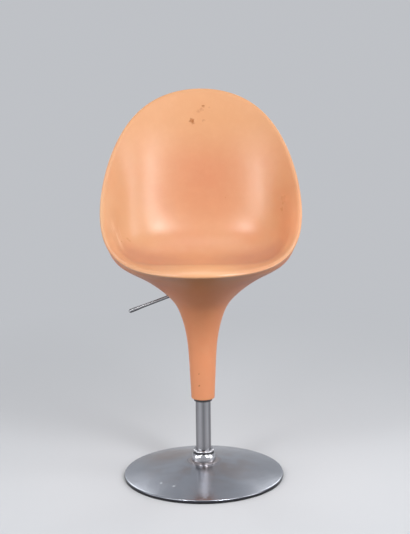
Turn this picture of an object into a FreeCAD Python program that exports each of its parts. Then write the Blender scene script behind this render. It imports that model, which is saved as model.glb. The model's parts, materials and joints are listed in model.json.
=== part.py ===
import FreeCAD, Part
import math
import os
from FreeCAD import Vector

# Swivel stool with a one-seat egg-shaped shell on a gas lift, in millimetres and degrees.
# The origin is on the floor under the column, +Z is up and the open front of the seat faces -Y.
# Everything is drawn with the seat raised all the way and the lever released.

# Fits and clearances
press_fit = 0.02
shaft_fit = 0.05
running_gap = 0.3
seat_gap = 0.4
end_gap = 10.0
over_cut = 1.0

# Base disc
disc_radius = 200.0
disc_edge_height = 10.0
disc_edge_round = 4.0
disc_hub_height = 42.0
disc_hub_radius = 30.0
disc_sheet = 1.5
pad_thickness = 3.0
pad_inset = 1.0
ballast_gap = 1.5
ballast_thickness = 13.0

# Column and its foot
column_radius = 19.0
column_wall = 2.0
flange_radius = 46.0
flange_thickness = 6.0
flange_screw_circle = 34.0
flange_screw_count = 4
flange_screw_end = 1.0
foot_radius = 30.5
foot_lip_radius = 27.5
foot_height = 29.0
foot_bead = 7.0
foot_wall = 2.2
foot_web = 2.0
foot_seat_gap = 0.2
foot_bell = ((0.46, 0.18), (0.85, 0.46), (1.0, 0.78))
guide_length = 58.0
guide_flange = 2.0

# Swivel bearing at the foot of the piston rod
bearing_seat_lift = 14.0
bearing_seat_thickness = 4.0
washer_radius = 14.0
washer_thickness = 1.5
ball_radius = 2.0
ball_circle = 10.0
ball_count = 10
cage_thickness = 1.6
cage_inset = 0.5
cage_bore_gap = 1.5
rod_neck_radius = 4.0
rod_radius = 5.0
rod_shoulder_radius = 7.0
rod_shoulder = 3.0
rod_end = 3.0
clip_thickness = 1.5
clip_radius = 7.0
clip_groove = 1.0
clip_mouth = 4.0
bumper_radius = 12.0
bumper_height = 12.0
bumper_round = 3.0

# Gas spring
lift_travel = 116.0
cylinder_radius = 14.0
cylinder_wall = 1.5
cylinder_length = 241.5
cylinder_top_wall = 9.0
taper_length = 31.5
taper_lead = 5.0
taper_angle = 1.5
gland_length = 15.0
piston_length = 10.0
piston_cushion = 7.0
seal_width = 3.0
seal_depth = 2.0

# Seat heights: the stem from its lower edge to the neck, the rest above the neck and the pan
stem_height = 236.5
socket_drop = 6.5
pan_rise = 100.0
rim_front_rise = 21.0
rim_side_rise = 173.5
rim_back_rise = 404.6

# Seat shell, measured to the middle of its rounded rim
rim_round = 6.0
rim_lip_round = 6.0
rim_lip_depth = 8.0
rim_inner_round = 6.0
rim_inner_depth = 10.0
rim_ease = 1.5
bowl_set = 12.0
rim_outer_round = 5.0
rim_front_reach = 229.0
rim_half_width = 237.5
rim_side_set = 30.0
rim_back_reach = 213.8
rim_corner = 14.1
rim_square = 5.0
rim_sweep = 11.3
corner_dip = 10.0
rim_front_lean_angle = -25.0
rim_side_lean_angle = 84.0
rim_back_lean_angle = 78.0
pan_set = -10.0
shell_wall = 4.0
parting_share = 0.04

# Stem of the shell
stem_radius = 29.0
stem_taper = 0.045
stem_straight = 100.0
neck_flare = 21.8
neck_power = 2.5
stem_rows = 8
bush_nose = 8.0
bush_nose_wall = 4.0
bush_length = 34.0

# Bracket under the pan
socket_radius = 21.0
socket_top = 4.0
bracket_plate = 4.0
bracket_lift = 36.0
bracket_half_length = 84.0
bracket_half_width = 62.0
bracket_corner = 14.0
boss_x = 70.0
boss_y = 48.0
boss_radius = 8.0
weld_overlap = 1.0

# Screws of the bracket and the flange
screw_radius = 3.0
screw_length = 22.0
screw_head_radius = 6.0
screw_head_height = 3.6
screw_head_round = 1.2
screw_socket_radius = 1.8
screw_socket_depth = 2.4

# Cheeks of the bracket
cheek_thickness = 3.0
cheek_front = 42.0
cheek_back = 17.0

# Lever and release pin
lever_slope_angle = 20.6
lever_swing_angle = 7.0
lever_length = 160.0
lever_radius = 3.9
lever_tip_radius = 4.9
lever_grip = 46.0
pivot_set = 30.0
pivot_rise = 6.0
pivot_radius = 3.0
pivot_head_radius = 5.0
pivot_head_height = 2.0
pivot_end = 1.5
rocker_half_width = 6.0
rocker_half_height = 6.0
rocker_tail = 22.0
rocker_nose = 37.0
rocker_bore_depth = 13.0
rocker_round = 1.5
rod_set_back = 0.5
pin_radius = 3.5
pin_dome = 6.0
pin_depth = 16.0
slot_clearance = 2.6
slot_steps = 4

# Heights that follow from the sizes above
foot_top = disc_hub_height + foot_height
stem_bottom = foot_top + end_gap + lift_travel + bush_nose
neck_top = stem_bottom + stem_height
pan_top = neck_top + pan_rise
rim_front_top = pan_top + rim_front_rise
rim_side_top = pan_top + rim_side_rise
rim_back_top = pan_top + rim_back_rise
socket_bottom = neck_top - socket_drop
cylinder_top = socket_bottom + taper_lead + taper_length + running_gap
cylinder_bottom = cylinder_top - cylinder_length
column_top = socket_bottom - lift_travel - 2.0 * end_gap
socket_cap = cylinder_top + seat_gap
bracket_base = socket_cap + socket_top
pivot_height = bracket_base + pivot_rise
plate_bottom = socket_cap + bracket_lift
ballast_top = pad_thickness + ballast_thickness
disc_slope = (disc_hub_height - disc_edge_height) / (disc_radius - disc_edge_round - disc_hub_radius)
disc_sheet_height = disc_sheet * math.sqrt(1.0 + disc_slope ** 2)
ballast_room = disc_hub_height - disc_sheet_height - ballast_gap - ballast_top
ballast_radius = disc_hub_radius + ballast_room / disc_slope
bearing_seat_bottom = ballast_top + bearing_seat_lift
bearing_bottom = bearing_seat_bottom + bearing_seat_thickness
ball_middle = bearing_bottom + washer_thickness + shaft_fit + ball_radius
bearing_top = ball_middle + ball_radius + shaft_fit + washer_thickness
column_bore = column_radius - column_wall
cylinder_bore = cylinder_radius - cylinder_wall

# The skin of the shell: each row is a closed ring round the seat
ring_points = 24
least_climb_share = 0.01
roll_turns = (-90.0, -45.0, 0.0, 45.0, 90.0)
roll_overshoot = 3.0 / (2.0 + math.cos(math.radians(45.0)))

# Sections of the bowl, as shares of the way from the pan centre to the rim (out, up)
bowl_front = ((0.12, 0.025), (0.25, 0.18), (0.37, 0.49), (0.50, 0.865), (0.62, 1.15), (0.735, 1.295),
              (0.822, 1.325), (0.89, 1.295), (0.952, 1.19))
bowl_side = ((0.14, 0.00), (0.33, 0.01), (0.52, 0.03), (0.68, 0.07), (0.80, 0.145), (0.875, 0.26),
             (0.918, 0.42), (0.944, 0.605), (0.976, 0.79))
bowl_back = ((0.13, 0.00), (0.27, 0.01), (0.40, 0.03), (0.53, 0.07), (0.64, 0.14), (0.72, 0.24),
             (0.79, 0.39), (0.87, 0.58), (0.94, 0.79))

# Sections of the outer skin, as shares of the way from the neck to the rim (out, up)
outer_front = ((0.95, 0.97), (0.89, 0.94), (0.82, 0.90), (0.73, 0.85), (0.63, 0.77), (0.51, 0.67),
               (0.39, 0.54), (0.25, 0.36), (0.11, 0.18))
outer_side = ((0.975, 0.83), (0.925, 0.667), (0.852, 0.536), (0.763, 0.43), (0.657, 0.352),
              (0.517, 0.288), (0.372, 0.23), (0.216, 0.152), (0.093, 0.077))
outer_back = ((1.01, 0.92), (0.98, 0.81), (0.93, 0.69), (0.86, 0.57), (0.76, 0.44), (0.63, 0.31),
              (0.48, 0.20), (0.30, 0.125), (0.13, 0.066))


def write(name, shape):
    """Write one sub-part to its own STEP file."""
    shape.exportStep("parts/" + name + ".step")


def turned_edges(edges, axis=Vector(0, 0, 1)):
    """Revolve a closed outline of edges about an axis through the origin."""
    return Part.Face(Part.Wire(edges)).revolve(Vector(0, 0, 0), axis, 360)


def turned(points):
    """Revolve a closed outline of (radius, height) points about the column axis."""
    corners = [Vector(radius, 0, height) for radius, height in points]
    return turned_edges(Part.makePolygon(corners + [corners[0]]).Edges)


def ring(outer, inner, bottom, top):
    """A plain ring about the column axis."""
    return turned(((inner, bottom), (outer, bottom), (outer, top), (inner, top)))


def rod(radius, bottom, top, x=0.0, y=0.0):
    """A plain upright cylinder."""
    return Part.makeCylinder(radius, top - bottom, Vector(x, y, bottom))


def bar(radius, start, end, middle, axis):
    """A plain cylinder about an axis through a middle point, from one distance along it to another."""
    return Part.makeCylinder(radius, end - start, middle + axis * start, axis)


def round_edges(shape, radius, height):
    """The circular edges of a shape that have this radius at this height."""
    circles = [edge for edge in shape.Edges if isinstance(edge.Curve, Part.Circle)]
    near = [edge for edge in circles if abs(edge.Curve.Radius - radius) < press_fit]
    return [edge for edge in near if abs(edge.Curve.Center.z - height) < press_fit]


def screw(length):
    """A socket screw with its head above the origin and its shank below."""
    socket_floor = screw_head_height - screw_socket_depth
    head = rod(screw_head_radius, 0.0, screw_head_height)
    head = head.makeFillet(screw_head_round, round_edges(head, screw_head_radius, screw_head_height))
    shank = rod(screw_radius, -length, socket_floor)
    socket = rod(screw_socket_radius, socket_floor, screw_head_height + over_cut)
    return head.fuse(shank).cut(socket)


def blend(front, side, back, angle):
    """Pass smoothly from the front value through the side value to the back value."""
    mean = (front + 2.0 * side + back) / 4.0
    lean = (front - back) / 2.0
    oval = (front - 2.0 * side + back) / 4.0
    return mean + lean * math.cos(angle) + oval * math.cos(2.0 * angle)


def climb(front, side, back, angle):
    """Climb steadily from the front height through the side height to the back height."""
    half_way = max(least_climb_share, (side - front) / (back - front))
    power = math.log(half_way) / math.log(0.5)
    return front + (back - front) * ((1.0 - math.cos(angle)) / 2.0) ** power


def angles():
    """The angles of the points of a ring, from the front, round by +X."""
    return [2.0 * math.pi * step / ring_points for step in range(ring_points)]


def skin_row(front, side, back, side_set):
    """A ring through a front (y, z), a side (x, z) and a back (y, z) point of the sections."""
    share = (back[1] - front[1]) / (rim_back_top - rim_front_top)
    row = []
    for angle in angles():
        x = side[0] * math.sin(angle)
        x += share * rim_corner * math.sin(2.0 * angle)
        x += share * rim_square * (math.sin(3.0 * angle) + math.sin(angle))
        y = blend(front[0], side_set, back[0], angle)
        z = blend(front[1], side[1], back[1], angle)
        z += share * rim_sweep * (math.cos(3.0 * angle) - math.cos(angle))
        z -= corner_dip * share * (1.0 - share) * ((1.0 + math.cos(angle)) * math.sin(2.0 * angle)) ** 2
        row.append(Vector(x, y, z))
    return row


def rim_line():
    """The middle of the rounded rim."""
    front = (-rim_front_reach, rim_front_top)
    side = (rim_half_width, rim_side_top)
    back = (rim_back_reach, rim_back_top)
    return skin_row(front, side, back, rim_side_set)


def roll_row(turn):
    """One row of the rounded rim, from -90 on the bowl to 90 on the outer skin."""
    row = []
    for angle, middle in zip(angles(), rim_line()):
        lean = blend(rim_front_lean_angle, rim_side_lean_angle, rim_back_lean_angle, angle)
        lean = math.radians(lean)
        outward = Vector(math.sin(angle), -math.cos(angle), 0)
        away = outward * math.cos(lean) + Vector(0, 0, math.sin(lean))
        across = Vector(0, 0, math.cos(lean)) - outward * math.sin(lean)
        swing = math.radians(turn)
        over = rim_outer_round * math.sin(swing)
        drop = rim_round * (1.0 - math.cos(swing))
        if turn < 0:
            width = blend(rim_lip_round, rim_inner_round, rim_inner_round, angle)
            depth = blend(rim_lip_depth, rim_inner_depth, rim_inner_depth, angle)
            over = -width * abs(math.sin(swing)) ** rim_ease
            drop = depth * (1.0 - math.cos(swing)) ** (1.0 / math.sqrt(rim_ease))
        point = away * (rim_round - drop) - across * over
        row.append(middle + point * roll_overshoot)
    return row


def bowl_row(front, side, back):
    """One row of the bowl between the pan centre and the rim."""
    front_reach = front[0] * (rim_front_reach + pan_set)
    front_point = (pan_set - front_reach, pan_top + front[1] * (rim_front_rise + rim_lip_round))
    side_point = (side[0] * (rim_half_width - bowl_set), pan_top + side[1] * rim_side_rise)
    back_reach = back[0] * (rim_back_reach - bowl_set - pan_set)
    back_point = (pan_set + back_reach, pan_top + back[1] * rim_back_rise)
    side_set = pan_set + (rim_side_set - pan_set) * side[0] ** 2
    return skin_row(front_point, side_point, back_point, side_set)


def neck_radius(height):
    """Outer radius of the stem at a height above its lower edge."""
    flare = max(0.0, (height - stem_straight) / (stem_height - stem_straight))
    return stem_radius + stem_taper * height + neck_flare * flare ** neck_power


def outer_row(front, side, back):
    """One row of the outer skin between the neck and the rim."""
    neck = neck_radius(stem_height)
    front_reach = neck + front[0] * (rim_front_reach - neck)
    front_point = (-front_reach, neck_top + front[1] * (rim_front_top - rim_outer_round - neck_top))
    side_reach = neck + side[0] * (rim_half_width + rim_outer_round - neck)
    side_point = (side_reach, neck_top + side[1] * (rim_side_top - neck_top))
    back_reach = neck + back[0] * (rim_back_reach + rim_outer_round - neck)
    back_point = (back_reach, neck_top + back[1] * (rim_back_top - neck_top))
    row = []
    for angle in angles():
        x = side_point[0] * math.sin(angle)
        x += side[0] ** 6 * rim_corner * math.sin(2.0 * angle)
        y = blend(front_point[0], rim_side_set * side[0] ** 2, back_point[0], angle)
        z = climb(front_point[1], side_point[1], back_point[1], angle)
        row.append(Vector(x, y, z))
    return row


def stem_row(height):
    """One round row of the stem."""
    radius = neck_radius(height)
    level = stem_bottom + height
    return [Vector(radius * math.sin(angle), -radius * math.cos(angle), level) for angle in angles()]


def skin_rows():
    """All rows of the skin, from the pan centre over the rim and down to the foot of the stem."""
    rows = [[Vector(0, pan_set, pan_top)] * ring_points]
    rows += [bowl_row(*shares) for shares in zip(bowl_front, bowl_side, bowl_back)]
    rows += [roll_row(turn) for turn in roll_turns]
    rows += [outer_row(*shares) for shares in zip(outer_front, outer_side, outer_back)]
    rows += [stem_row(stem_height * step / stem_rows) for step in range(stem_rows, -1, -1)]
    return rows


def through_points(row):
    """Poles of the closed curve that passes through a ring of points."""
    poles = list(row)
    for _ in range(12):
        before = poles[-1:] + poles[:-1]
        after = poles[1:] + poles[:1]
        bends = [(a - p * 2 + b) * (1.0 / 6.0) for a, p, b in zip(before, poles, after)]
        poles = [point - bend for point, bend in zip(row, bends)]
    return poles


def skin_surface(rows):
    """A smooth closed surface whose rows of poles are the rings."""
    columns = [list(column) for column in zip(*[through_points(row) for row in rows])]
    ring_knots = [float(knot) for knot in range(ring_points + 1)]
    row_knots = [float(knot) for knot in range(len(rows) - 2)]
    row_mults = [4] + [1] * (len(rows) - 4) + [4]
    surface = Part.BSplineSurface()
    surface.buildFromPolesMultsKnots(columns, [1] * (ring_points + 1), row_mults, ring_knots, row_knots,
                                     True, False, 3, 3)
    return surface


def row_knot(index, count):
    """The place of a row along the surface."""
    if index < 2:
        return index / 3.0
    if index > count - 3:
        return count - 3 - (count - 1 - index) / 3.0
    return index - 1.0


def inner_rows(rows, surface):
    """The rows of the hidden side of the wall, one wall thickness inside the skin."""
    count = len(rows)
    inside = [[Vector(0, pan_set, pan_top - shell_wall)] * ring_points]
    for index in range(1, count):
        knot = row_knot(index, count)
        row = []
        for step, point in enumerate(rows[index]):
            normal = surface.normal(float(step), knot)
            row.append(point + normal * shell_wall * wall_side)
        inside.append(row)
    return inside


def patch(surface, start, end):
    """The face of a surface between two rows."""
    part = surface.copy()
    first, last, _, _ = surface.bounds()
    part.segment(first, last, start, end)
    return part.toShape()


def strip(skin, lining, place):
    """The edge of the wall at one row."""
    return Part.makeRuledSurface(skin.vIso(place).toShape(), lining.vIso(place).toShape())


def moulding(skin, lining, start, end):
    """The wall between the skin and its lining, from one row to another."""
    faces = [patch(skin, start, end), patch(lining, start, end), strip(skin, lining, end)]
    if start > 0.0:
        faces.append(strip(skin, lining, start))
    sewn = Part.Compound(faces)
    sewn.sewShape()
    solid = Part.Solid(sewn.Shells[0])
    if solid.Volume < 0:
        solid.reverse()
    return solid


rows = skin_rows()
skin = skin_surface(rows)
wall_side = -1.0 if skin.normal(0.0, 2.0).z > 0 else 1.0
lining = skin_surface(inner_rows(rows, skin))
last_place = skin.bounds()[3]
parting = 1.0 + len(bowl_front) + len(roll_turns) - 2.0
pan_face = patch(skin, 0.0, parting)


def pan_height(x, y):
    """Height of the pan surface over a point of the plan."""
    plumb = Part.makeLine(Vector(x, y, plate_bottom), Vector(x, y, rim_back_top))
    return min(vertex.Z for vertex in pan_face.section(plumb).Vertexes)


def boss_places():
    """The four screw places under the pan."""
    return [(x, y) for x in (-boss_x, boss_x) for y in (-boss_y, boss_y)]


def seat_shell():
    """The moulding that is sat in: bowl, rounded rim and the screw bosses under the pan."""
    shell = moulding(skin, lining, 0.0, parting)
    for x, y in boss_places():
        boss_top = pan_height(x, y) - shell_wall / 2.0
        shell = shell.fuse(rod(boss_radius, plate_bottom + bracket_plate, boss_top, x, y))
    for x, y in boss_places():
        hole_top = plate_bottom + screw_length + over_cut
        shell = shell.cut(rod(screw_radius + press_fit, plate_bottom, hole_top, x, y))
    return shell


def lever_frame(shape, swing=0.0):
    """Place a shape drawn along +X from the pivot on the lever's own line."""
    placed = shape.copy()
    placed.rotate(Vector(0, 0, 0), Vector(0, 1, 0), 180.0 - lever_slope_angle + swing)
    placed.translate(Vector(-pivot_set, 0, pivot_height))
    return placed


def lever_slot():
    """The room that the lever needs in the stem, from released to lifted."""
    sweep = bar(lever_radius + slot_clearance, rocker_tail, lever_length, Vector(0, 0, 0), Vector(1, 0, 0))
    cut = lever_frame(sweep)
    for step in range(1, slot_steps + 1):
        cut = cut.fuse(lever_frame(sweep, lever_swing_angle * step / slot_steps))
    return cut


def outer_shell():
    """The outer moulding: underside, back and the trumpet-shaped stem, with the lever's slot."""
    shell = moulding(skin, lining, parting + parting_share, last_place)
    return shell.cut(lever_slot())


def stem_bush():
    """The plastic guide in the foot of the stem, which slides on the column."""
    bore = column_radius + running_gap
    plug = stem_radius - shell_wall - running_gap
    nose = column_radius + bush_nose_wall
    top = stem_bottom + bush_length
    outline = ((bore, stem_bottom - bush_nose), (nose, stem_bottom - bush_nose), (nose, stem_bottom),
               (plug, stem_bottom), (plug, top), (bore, top))
    return turned(outline)


def seat_bracket():
    """The steel bracket: taper socket, two cheeks for the lever and a plate under the pan."""
    bore_low = cylinder_radius + press_fit
    bore_high = bore_low - taper_length * math.tan(math.radians(taper_angle))
    bore_top = socket_bottom + taper_lead + taper_length
    socket = rod(socket_radius, socket_bottom, bracket_base)
    cheek_inside = rocker_half_width + 2.0 * running_gap
    cheek_size = (cheek_front + cheek_back, cheek_thickness, plate_bottom + weld_overlap - socket_cap)
    for side in (cheek_inside, -cheek_inside - cheek_thickness):
        socket = socket.fuse(Part.makeBox(*cheek_size, Vector(-cheek_front, side, socket_cap)))
    plate_place = Vector(-bracket_half_length, -bracket_half_width, plate_bottom)
    plate = Part.makeBox(2 * bracket_half_length, 2 * bracket_half_width, bracket_plate, plate_place)
    heights = [(edge, abs(edge.Vertexes[0].Z - edge.Vertexes[1].Z)) for edge in plate.Edges]
    corners = [edge for edge, height in heights if height > bracket_plate / 2.0]
    plate = plate.makeFillet(bracket_corner, corners)
    socket = socket.fuse(plate).removeSplitter()
    bore = ((0, socket_bottom - over_cut), (bore_low, socket_bottom - over_cut),
            (bore_low, socket_bottom + taper_lead), (bore_high, bore_top), (bore_high, socket_cap),
            (0, socket_cap))
    socket = socket.cut(turned(bore))
    socket = socket.cut(rod(pin_radius + 3 * running_gap, socket_cap - over_cut, bracket_base + over_cut))
    for x, y in boss_places():
        plate_top = plate_bottom + bracket_plate
        hole = rod(screw_radius + running_gap, plate_bottom - over_cut, plate_top + over_cut, x, y)
        socket = socket.cut(hole)
    reach = cheek_inside + cheek_thickness + over_cut
    pivot_place = Vector(-pivot_set, 0, pivot_height)
    return socket.cut(bar(pivot_radius + press_fit, -reach, reach, pivot_place, Vector(0, 1, 0)))


def bracket_screws():
    """The four screws that hold the bracket to the pan."""
    screws = []
    for x, y in boss_places():
        piece = screw(screw_length)
        piece.rotate(Vector(0, 0, 0), Vector(1, 0, 0), 180.0)
        piece.translate(Vector(x, y, plate_bottom))
        screws.append(piece)
    return Part.Compound(screws)


def gas_cylinder():
    """The pressure tube of the gas spring, with its tapered closed top."""
    taper_bottom = cylinder_top - taper_length - running_gap
    top_radius = cylinder_radius - taper_length * math.tan(math.radians(taper_angle))
    bore_top = cylinder_top - cylinder_top_wall
    narrow = top_radius - cylinder_wall
    hole = pin_radius + shaft_fit
    outline = ((cylinder_bore, cylinder_bottom), (cylinder_radius, cylinder_bottom),
               (cylinder_radius, taper_bottom), (top_radius, cylinder_top - running_gap),
               (top_radius, cylinder_top), (hole, cylinder_top), (hole, bore_top), (narrow, bore_top),
               (narrow, taper_bottom), (cylinder_bore, taper_bottom))
    return turned(outline)


def cylinder_gland():
    """The seal and guide that closes the lower end of the pressure tube round the rod."""
    outer = cylinder_bore - press_fit
    return ring(outer, rod_radius + shaft_fit, cylinder_bottom, cylinder_bottom + gland_length)


piston_bottom = cylinder_bottom + gland_length + piston_cushion
piston_radius = cylinder_bore - running_gap
piston_top = piston_bottom + piston_length
seal_bottom = piston_bottom + (piston_length - seal_width) / 2.0
seal_inner = piston_radius - seal_depth


def piston_head():
    """The piston on the top of the rod, grooved for its seal."""
    groove = seal_inner - press_fit
    bore = rod_radius + press_fit
    groove_low = seal_bottom - press_fit
    groove_high = seal_bottom + seal_width + press_fit
    outline = ((bore, piston_bottom), (piston_radius, piston_bottom), (piston_radius, groove_low),
               (groove, groove_low), (groove, groove_high), (piston_radius, groove_high),
               (piston_radius, piston_top), (bore, piston_top))
    return turned(outline)


def piston_seal():
    """The seal ring in the piston's groove."""
    return ring(cylinder_bore - 2 * shaft_fit, seal_inner, seal_bottom, seal_bottom + seal_width)


clip_top = bearing_seat_bottom - shaft_fit
clip_bottom = clip_top - clip_thickness
rod_bottom = clip_bottom - rod_end


def piston_rod():
    """The piston rod: a neck in the bearing, a shoulder over it and a plain rod up to the piston."""
    groove = rod_neck_radius - clip_groove
    outline = ((0, rod_bottom), (rod_neck_radius, rod_bottom), (rod_neck_radius, clip_bottom - press_fit),
               (groove, clip_bottom - press_fit), (groove, clip_top + press_fit),
               (rod_neck_radius, clip_top + press_fit), (rod_neck_radius, bearing_top),
               (rod_shoulder_radius, bearing_top), (rod_shoulder_radius, bearing_top + rod_shoulder),
               (rod_radius, bearing_top + rod_shoulder), (rod_radius, piston_top), (0, piston_top))
    return turned(outline)


def rod_clip():
    """The open spring clip that keeps the rod in its bearing."""
    clip = ring(clip_radius, rod_neck_radius - clip_groove + press_fit, clip_bottom, clip_top)
    mouth = Part.makeBox(clip_radius, clip_mouth, clip_thickness, Vector(0, -clip_mouth / 2.0, clip_bottom))
    return clip.cut(mouth)


def rod_bumper():
    """The rubber stop that the pressure tube would meet at its lowest."""
    bottom = bearing_top + rod_shoulder
    bumper = ring(bumper_radius, rod_radius + press_fit, bottom, bottom + bumper_height)
    return bumper.makeFillet(bumper_round, round_edges(bumper, bumper_radius, bottom + bumper_height))


def thrust_washer(bottom):
    """One race washer of the swivel bearing."""
    return ring(washer_radius, rod_neck_radius + running_gap, bottom, bottom + washer_thickness)


def ball_places():
    """The middles of the bearing's balls."""
    turns = [2 * math.pi * step / ball_count for step in range(ball_count)]
    return [Vector(ball_circle * math.cos(turn), ball_circle * math.sin(turn), ball_middle) for turn in turns]


def thrust_balls():
    """The balls of the swivel bearing."""
    return Part.Compound([Part.makeSphere(ball_radius, place) for place in ball_places()])


def ball_cage():
    """The cage that spaces the balls."""
    half = cage_thickness / 2.0
    bore = rod_neck_radius + cage_bore_gap
    cage = ring(washer_radius - cage_inset, bore, ball_middle - half, ball_middle + half)
    for place in ball_places():
        cage = cage.cut(Part.makeSphere(ball_radius + shaft_fit, place))
    return cage


def bearing_seat():
    """The steel disc in the column's foot that carries the bearing."""
    return ring(column_bore - press_fit, rod_neck_radius + running_gap, bearing_seat_bottom, bearing_bottom)


def column_tube():
    """The chromed column."""
    return ring(column_radius, column_bore, ballast_top, column_top)


def column_guide_bush():
    """The plastic bush in the top of the column that guides the pressure tube."""
    bore = cylinder_radius + running_gap
    outline = ((bore, column_top - guide_length), (column_bore - press_fit, column_top - guide_length),
               (column_bore - press_fit, column_top), (column_radius, column_top),
               (column_radius, column_top + guide_flange), (bore, column_top + guide_flange))
    return turned(outline)


def screw_circle():
    """The places of the flange screws."""
    turns = [2 * math.pi * (step + 0.5) / flange_screw_count for step in range(flange_screw_count)]
    return [(flange_screw_circle * math.cos(turn), flange_screw_circle * math.sin(turn)) for turn in turns]


def column_flange():
    """The flange round the column's foot."""
    flange = ring(flange_radius, column_radius + press_fit, ballast_top, ballast_top + flange_thickness)
    for x, y in screw_circle():
        hole_top = ballast_top + flange_thickness + over_cut
        flange = flange.cut(rod(screw_radius + running_gap, ballast_top - over_cut, hole_top, x, y))
    return flange


def flange_screws():
    """The screws that hold the flange to the ballast plate."""
    screws = []
    for x, y in screw_circle():
        piece = screw(flange_thickness + ballast_thickness - flange_screw_end)
        piece.translate(Vector(x, y, ballast_top + flange_thickness))
        screws.append(piece)
    return Part.Compound(screws)


def ballast_plate():
    """The heavy plate that keeps the stool standing."""
    plate = rod(ballast_radius, pad_thickness, ballast_top)
    for x, y in screw_circle():
        hole = rod(screw_radius + press_fit, pad_thickness - over_cut, ballast_top + over_cut, x, y)
        plate = plate.cut(hole)
    return plate


def floor_pad():
    """The flat pad that the stool stands on."""
    return rod(disc_radius - pad_inset, 0, pad_thickness)


def base_cover():
    """The spun metal disc: a shallow cone with a rounded edge turned down to the pad."""
    tilt = math.atan(disc_slope)
    round_middle = Vector(disc_radius - disc_edge_round, 0, disc_edge_height - disc_edge_round)

    def edge_points(radius):
        mid_turn = (math.pi / 2 - tilt) / 2
        start = round_middle + Vector(radius * math.sin(tilt), 0, radius * math.cos(tilt))
        middle = round_middle + Vector(radius * math.cos(mid_turn), 0, radius * math.sin(mid_turn))
        end = round_middle + Vector(radius, 0, 0)
        return start, middle, end

    def cone_height(start, radius):
        return start.z + (start.x - radius) * disc_slope

    outer = edge_points(disc_edge_round)
    inner = edge_points(disc_edge_round - disc_sheet)
    hole = column_radius + running_gap
    hub_top = Vector(disc_hub_radius, 0, cone_height(outer[0], disc_hub_radius))
    hub_low = Vector(disc_hub_radius, 0, cone_height(inner[0], disc_hub_radius))
    hole_top = Vector(hole, 0, hub_top.z)
    hole_low = Vector(hole, 0, hub_low.z)
    foot_outer = Vector(disc_radius, 0, pad_thickness)
    foot_inner = Vector(disc_radius - disc_sheet, 0, pad_thickness)
    edges = [
        Part.makeLine(hole_top, hub_top),
        Part.makeLine(hub_top, outer[0]),
        Part.Arc(*outer).toShape(),
        Part.makeLine(outer[2], foot_outer),
        Part.makeLine(foot_outer, foot_inner),
        Part.makeLine(foot_inner, inner[2]),
        Part.Arc(inner[2], inner[1], inner[0]).toShape(),
        Part.makeLine(inner[0], hub_low),
        Part.makeLine(hub_low, hole_low),
        Part.makeLine(hole_low, hole_top),
    ]
    return turned_edges(edges)


def foot_collar():
    """The chromed bell round the foot of the column: a lip, a groove and a flared skirt."""
    bore = column_radius + running_gap
    low = disc_hub_height + foot_seat_gap
    bead = foot_bead / 2.0
    bead_middle = foot_lip_radius - bead
    bead_low = foot_top - foot_bead
    neck = Vector(bead_middle, 0, bead_low)
    shoulder = [neck]
    for out, down in foot_bell:
        radius = bead_middle + out * (foot_radius - bead_middle)
        shoulder.append(Vector(radius, 0, bead_low + down * (low - bead_low)))
    bell = Part.BSplineCurve()
    bell.interpolate(shoulder)
    wall_inside = foot_radius - foot_wall
    web_low = bead_low - foot_web
    loop = [shoulder[-1], Vector(foot_radius, 0, low), Vector(wall_inside, 0, low),
            Vector(wall_inside, 0, shoulder[-1].z), Vector(bead_middle - foot_wall, 0, web_low),
            Vector(bore, 0, web_low), Vector(bore, 0, foot_top), Vector(bead_middle, 0, foot_top)]
    edges = [Part.makeLine(a, b) for a, b in zip(loop[:-1], loop[1:])]
    edges.append(Part.Arc(loop[-1], Vector(foot_lip_radius, 0, foot_top - bead), neck).toShape())
    edges.append(bell.toShape())
    return turned_edges(edges)


def lever_rocker():
    """The steel block on the lever's pivot, whose nose presses the release pin."""
    length = rocker_tail + rocker_nose
    place = Vector(-rocker_nose, -rocker_half_width, -rocker_half_height)
    block = Part.makeBox(length, 2 * rocker_half_width, 2 * rocker_half_height, place)
    block = block.makeFillet(rocker_round, block.Edges)
    reach = rocker_half_width + over_cut
    middle = Vector(0, 0, 0)
    pivot = bar(pivot_radius + shaft_fit, -reach, reach, middle, Vector(0, 1, 0))
    bore_start = rocker_tail - rocker_bore_depth
    bore = bar(lever_radius + press_fit, bore_start, rocker_tail + over_cut, middle, Vector(1, 0, 0))
    return lever_frame(block.cut(pivot).cut(bore))


def lever_rod():
    """The chromed lever: a slim rod that swells to a rounded tip."""
    start = rocker_tail - rocker_bore_depth + rod_set_back
    grip = lever_length - lever_grip
    round_middle = lever_length - lever_tip_radius
    corners = [Vector(start, 0, 0), Vector(start, 0, lever_radius), Vector(grip, 0, lever_radius),
               Vector(round_middle, 0, lever_tip_radius), Vector(lever_length, 0, 0)]
    turn = math.radians(45.0)
    bend = Vector(round_middle + lever_tip_radius * math.sin(turn), 0, lever_tip_radius * math.cos(turn))
    edges = [Part.makeLine(a, b) for a, b in zip(corners[:3], corners[1:4])]
    edges.append(Part.Arc(corners[3], bend, corners[4]).toShape())
    edges.append(Part.makeLine(corners[4], corners[0]))
    return lever_frame(turned_edges(edges, Vector(1, 0, 0)))


def lever_pivot_pin():
    """The headed pin that the lever turns on."""
    half = rocker_half_width + 2 * running_gap + cheek_thickness
    middle = Vector(-pivot_set, 0, pivot_height)
    pin = bar(pivot_radius, -half, half + pivot_end, middle, Vector(0, 1, 0))
    head = bar(pivot_head_radius, -half - pivot_head_height, -half, middle, Vector(0, 1, 0))
    return pin.fuse(head)


def dome_middle():
    """Height of the centre of the release pin's domed top, just clear of the rocker's sloping nose."""
    slope = math.radians(lever_slope_angle)
    nose = pivot_height + pivot_set * math.tan(slope) - rocker_half_height / math.cos(slope)
    return nose - (pin_dome + running_gap) / math.cos(slope)


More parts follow.
